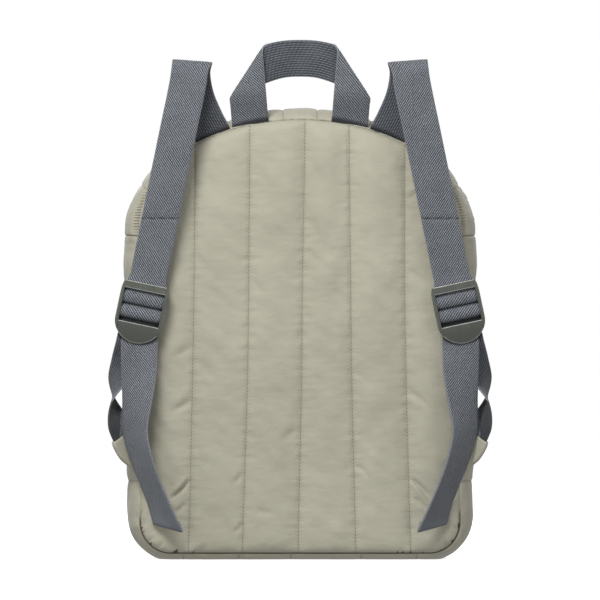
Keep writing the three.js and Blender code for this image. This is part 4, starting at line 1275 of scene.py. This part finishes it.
def makeZip(look=zipLook):
    shares = channelShares(crownFirst, crownLast, look["channelSteps"])
    depths = np.linspace(zipBack + depthGap, zipFront - depthGap, look["rows"])
    outer, _ = gussetGrid(shares, depths, look["recess"], plain=True)
    inner, _ = gussetGrid(shares, depths, look["recess"] + look["thickness"], plain=True)
    faces = gridFaces(len(depths), len(shares))
    vertices, shell = closedShell(outer.reshape(-1, 3), inner.reshape(-1, 3), faces)
    dress(makeMesh("zipTape", vertices, shell), zipTapes, "zip", ["zip"])


def makeTeeth(look=zipLook):
    count = round((crownLast - crownFirst) * loopLength / look["toothPitch"])
    shares = np.linspace(crownFirst, crownLast, count + 2)[1:-1]
    _, outward, _ = sectionsAt(shares)
    line, _ = gussetGrid(shares, zipMiddle, look["recess"] - look["toothRise"], plain=True)
    box = [(a, b, c) for a in (-0.5, 0.5) for b in (-0.5, 0.5) for c in (-0.5, 0.5)]
    quads = [(0, 1, 3, 2), (4, 6, 7, 5), (0, 4, 5, 1), (2, 3, 7, 6), (0, 2, 6, 4), (1, 5, 7, 3)]
    vertices, faces = [], []
    for number, (point, (outX, outZ)) in enumerate(zip(line[0], outward)):
        out, along = np.array([outX, 0, outZ]), np.array([-outZ, 0, outX])
        aside = np.array([0, 1 if number % 2 else -1, 0])
        spots = []
        for a, b, c in box:
            taper = look["toothTaper"] if c > 0 else 1.0
            flat = along * a * look["toothLength"] + aside * b * look["toothWidth"]
            spots.append(point + aside * look["toothAside"] + flat * taper + out * c * look["toothHeight"])
        addPart(vertices, faces, spots, quads)
    dress(makeMesh("zipTeeth", vertices, faces, smooth=False), plastic, "zip", [])


def roundedPlate(size, bevel, place, frame):
    length, width, thick = size
    turn = np.linspace(0, math.pi / 2, 6)
    radius = min(width, length) * 0.3
    corner = np.stack([length / 2 - radius + radius * np.cos(turn),
                       width / 2 - radius + radius * np.sin(turn)], -1)
    outline = np.vstack([corner, corner[::-1] * [-1, 1], -corner, corner[::-1] * [1, -1]])
    mesh = bevelledPlate([outline], -thick / 2, thick / 2, bevel)
    spots = [place + frame @ np.array(v.co) for v in mesh.vertices]
    faces = [tuple(f.vertices) for f in mesh.polygons]
    bpy.data.meshes.remove(mesh)
    return spots, faces


# A place on the middle of the tapes, the way out of it and a frame with the tapes' own direction
def onTapes(share, recess, aside=(0.0, 1.0, 0.0), reach=1e-4):
    line, _ = gussetGrid(np.array([share - reach, share, share + reach]), zipMiddle, recess, plain=True)
    along = unit(line[0, 2] - line[0, 0])
    out = unit(np.cross(aside, along))
    out = out if out[0] > 0 else -out
    return line[0, 1], out, np.stack([along, aside, out], -1)


def makeSlider(look=zipLook):
    pullLength = look["pull"][0][0]
    share = zipShare + (pullLength + look["body"][0][0]) / loopLength
    body, out, frame = onTapes(share, look["recess"])
    hang, hangOut, hangFrame = onTapes(share - pullLength * look["pullHang"] / loopLength, look["recess"])
    vertices, faces = [], []
    for part, place, turned in (("body", body + out * look["bodyOut"], frame),
                                ("bridge", body + out * look["bridgeOut"], frame),
                                ("pull", hang + hangOut * look["pullOut"], hangFrame)):
        addPart(vertices, faces, *roundedPlate(*look[part], place, turned))
    piece = makeMesh("zipSlider", vertices, faces)
    piece.data.set_sharp_from_angle(angle=sharpAngle)
    dress(piece, plastic, "zip", [])


makeZip()
makeTeeth()
makeSlider()
print("zip made")


# Floor, light and camera

studio = {
    "floor": linear(240, 240, 240), "floorSize": 6000.0, "floorDrop": 0.0002, "glow": 0.72, "ambient": 0.4,
    # name, place, target, size and power of each lamp, in metres and watts
    "lamps": [
        ("sideFront", (-1.0, -1.5, 0.25), (0, 0, 0.15), 0.6, 2.6),
        ("sideBack", (-0.6, 1.7, 0.9), (0, 0, 0.2), 0.9, 7.0),
        ("sideFront", (1.0, -1.5, 0.25), (0, 0, 0.15), 0.6, 2.6),
        ("sideBack", (0.6, 1.7, 0.9), (0, 0, 0.2), 0.9, 7.0),
        ("top", (-0.35, -1.2, 1.3), (0, 0, 0.15), 0.6, 19.0),
    ],
    "lens": 600.0, "sensor": 36.0, "frameWidth": 490.2, "frameCentre": 211.6, "referencePlane": -12.0,
}


def makeFloor(s=studio):
    corners = [(x * s["floorSize"], y * s["floorSize"], 0) for x, y in ((-1, -1), (1, -1), (1, 1), (-1, 1))]
    floor = makeMesh("floor", corners, [(0, 1, 2, 3)], smooth=False)
    floor.location.z = -s["floorDrop"]
    g = Graph(bpy.data.materials.new("paleFloor"))
    floor.data.materials.append(g.surface(Base_Color=(*s["floor"], 1), Roughness=0.9, Specular_IOR_Level=0.1,
                                          Emission_Color=(1, 1, 1, 1), Emission_Strength=s["glow"]))
    # the glow whitens the floor for the camera alone and lights nothing
    floor.visible_diffuse = floor.visible_glossy = False


def makeLight(name, place, target, size, power):
    light = bpy.data.lights.new(name, "AREA")
    light.shape, light.size, light.energy = "DISK", size, power
    lamp = bpy.data.objects.new(name, light)
    lamp.location = place
    lamp.rotation_euler = (Vector(target) - Vector(place)).to_track_quat("-Z", "Y").to_euler()
    bpy.context.scene.collection.objects.link(lamp)


def makeStudio(s=studio):
    world = bpy.data.worlds.new("studio")
    # a white background for the camera, over a dimmer light from all round
    g = Graph(world)
    background = g.tree.nodes["Background"]
    background.inputs["Color"].default_value = (1, 1, 1, 1)
    seen = g.add("ShaderNodeLightPath")
    g.feed(background.inputs["Strength"], seen * (1 - s["ambient"]) + s["ambient"])
    bpy.context.scene.world = world
    bpy.context.scene.view_settings.view_transform = "Standard"
    for lamp in s["lamps"]:
        makeLight(*lamp)


def makeCamera():
    data = bpy.data.cameras.new("camera")
    data.lens, data.sensor_width = studio["lens"], studio["sensor"]
    distance = studio["frameWidth"] * data.lens / data.sensor_width
    camera = bpy.data.objects.new("camera", data)
    camera.location = Vector((0, studio["referencePlane"] - distance, studio["frameCentre"])) * mm
    camera.rotation_euler = (math.pi / 2, 0, 0)
    data.clip_end = 100
    bpy.context.scene.collection.objects.link(camera)
    bpy.context.scene.camera = camera


makeFloor()
makeStudio()
makeCamera()
print("stage made")
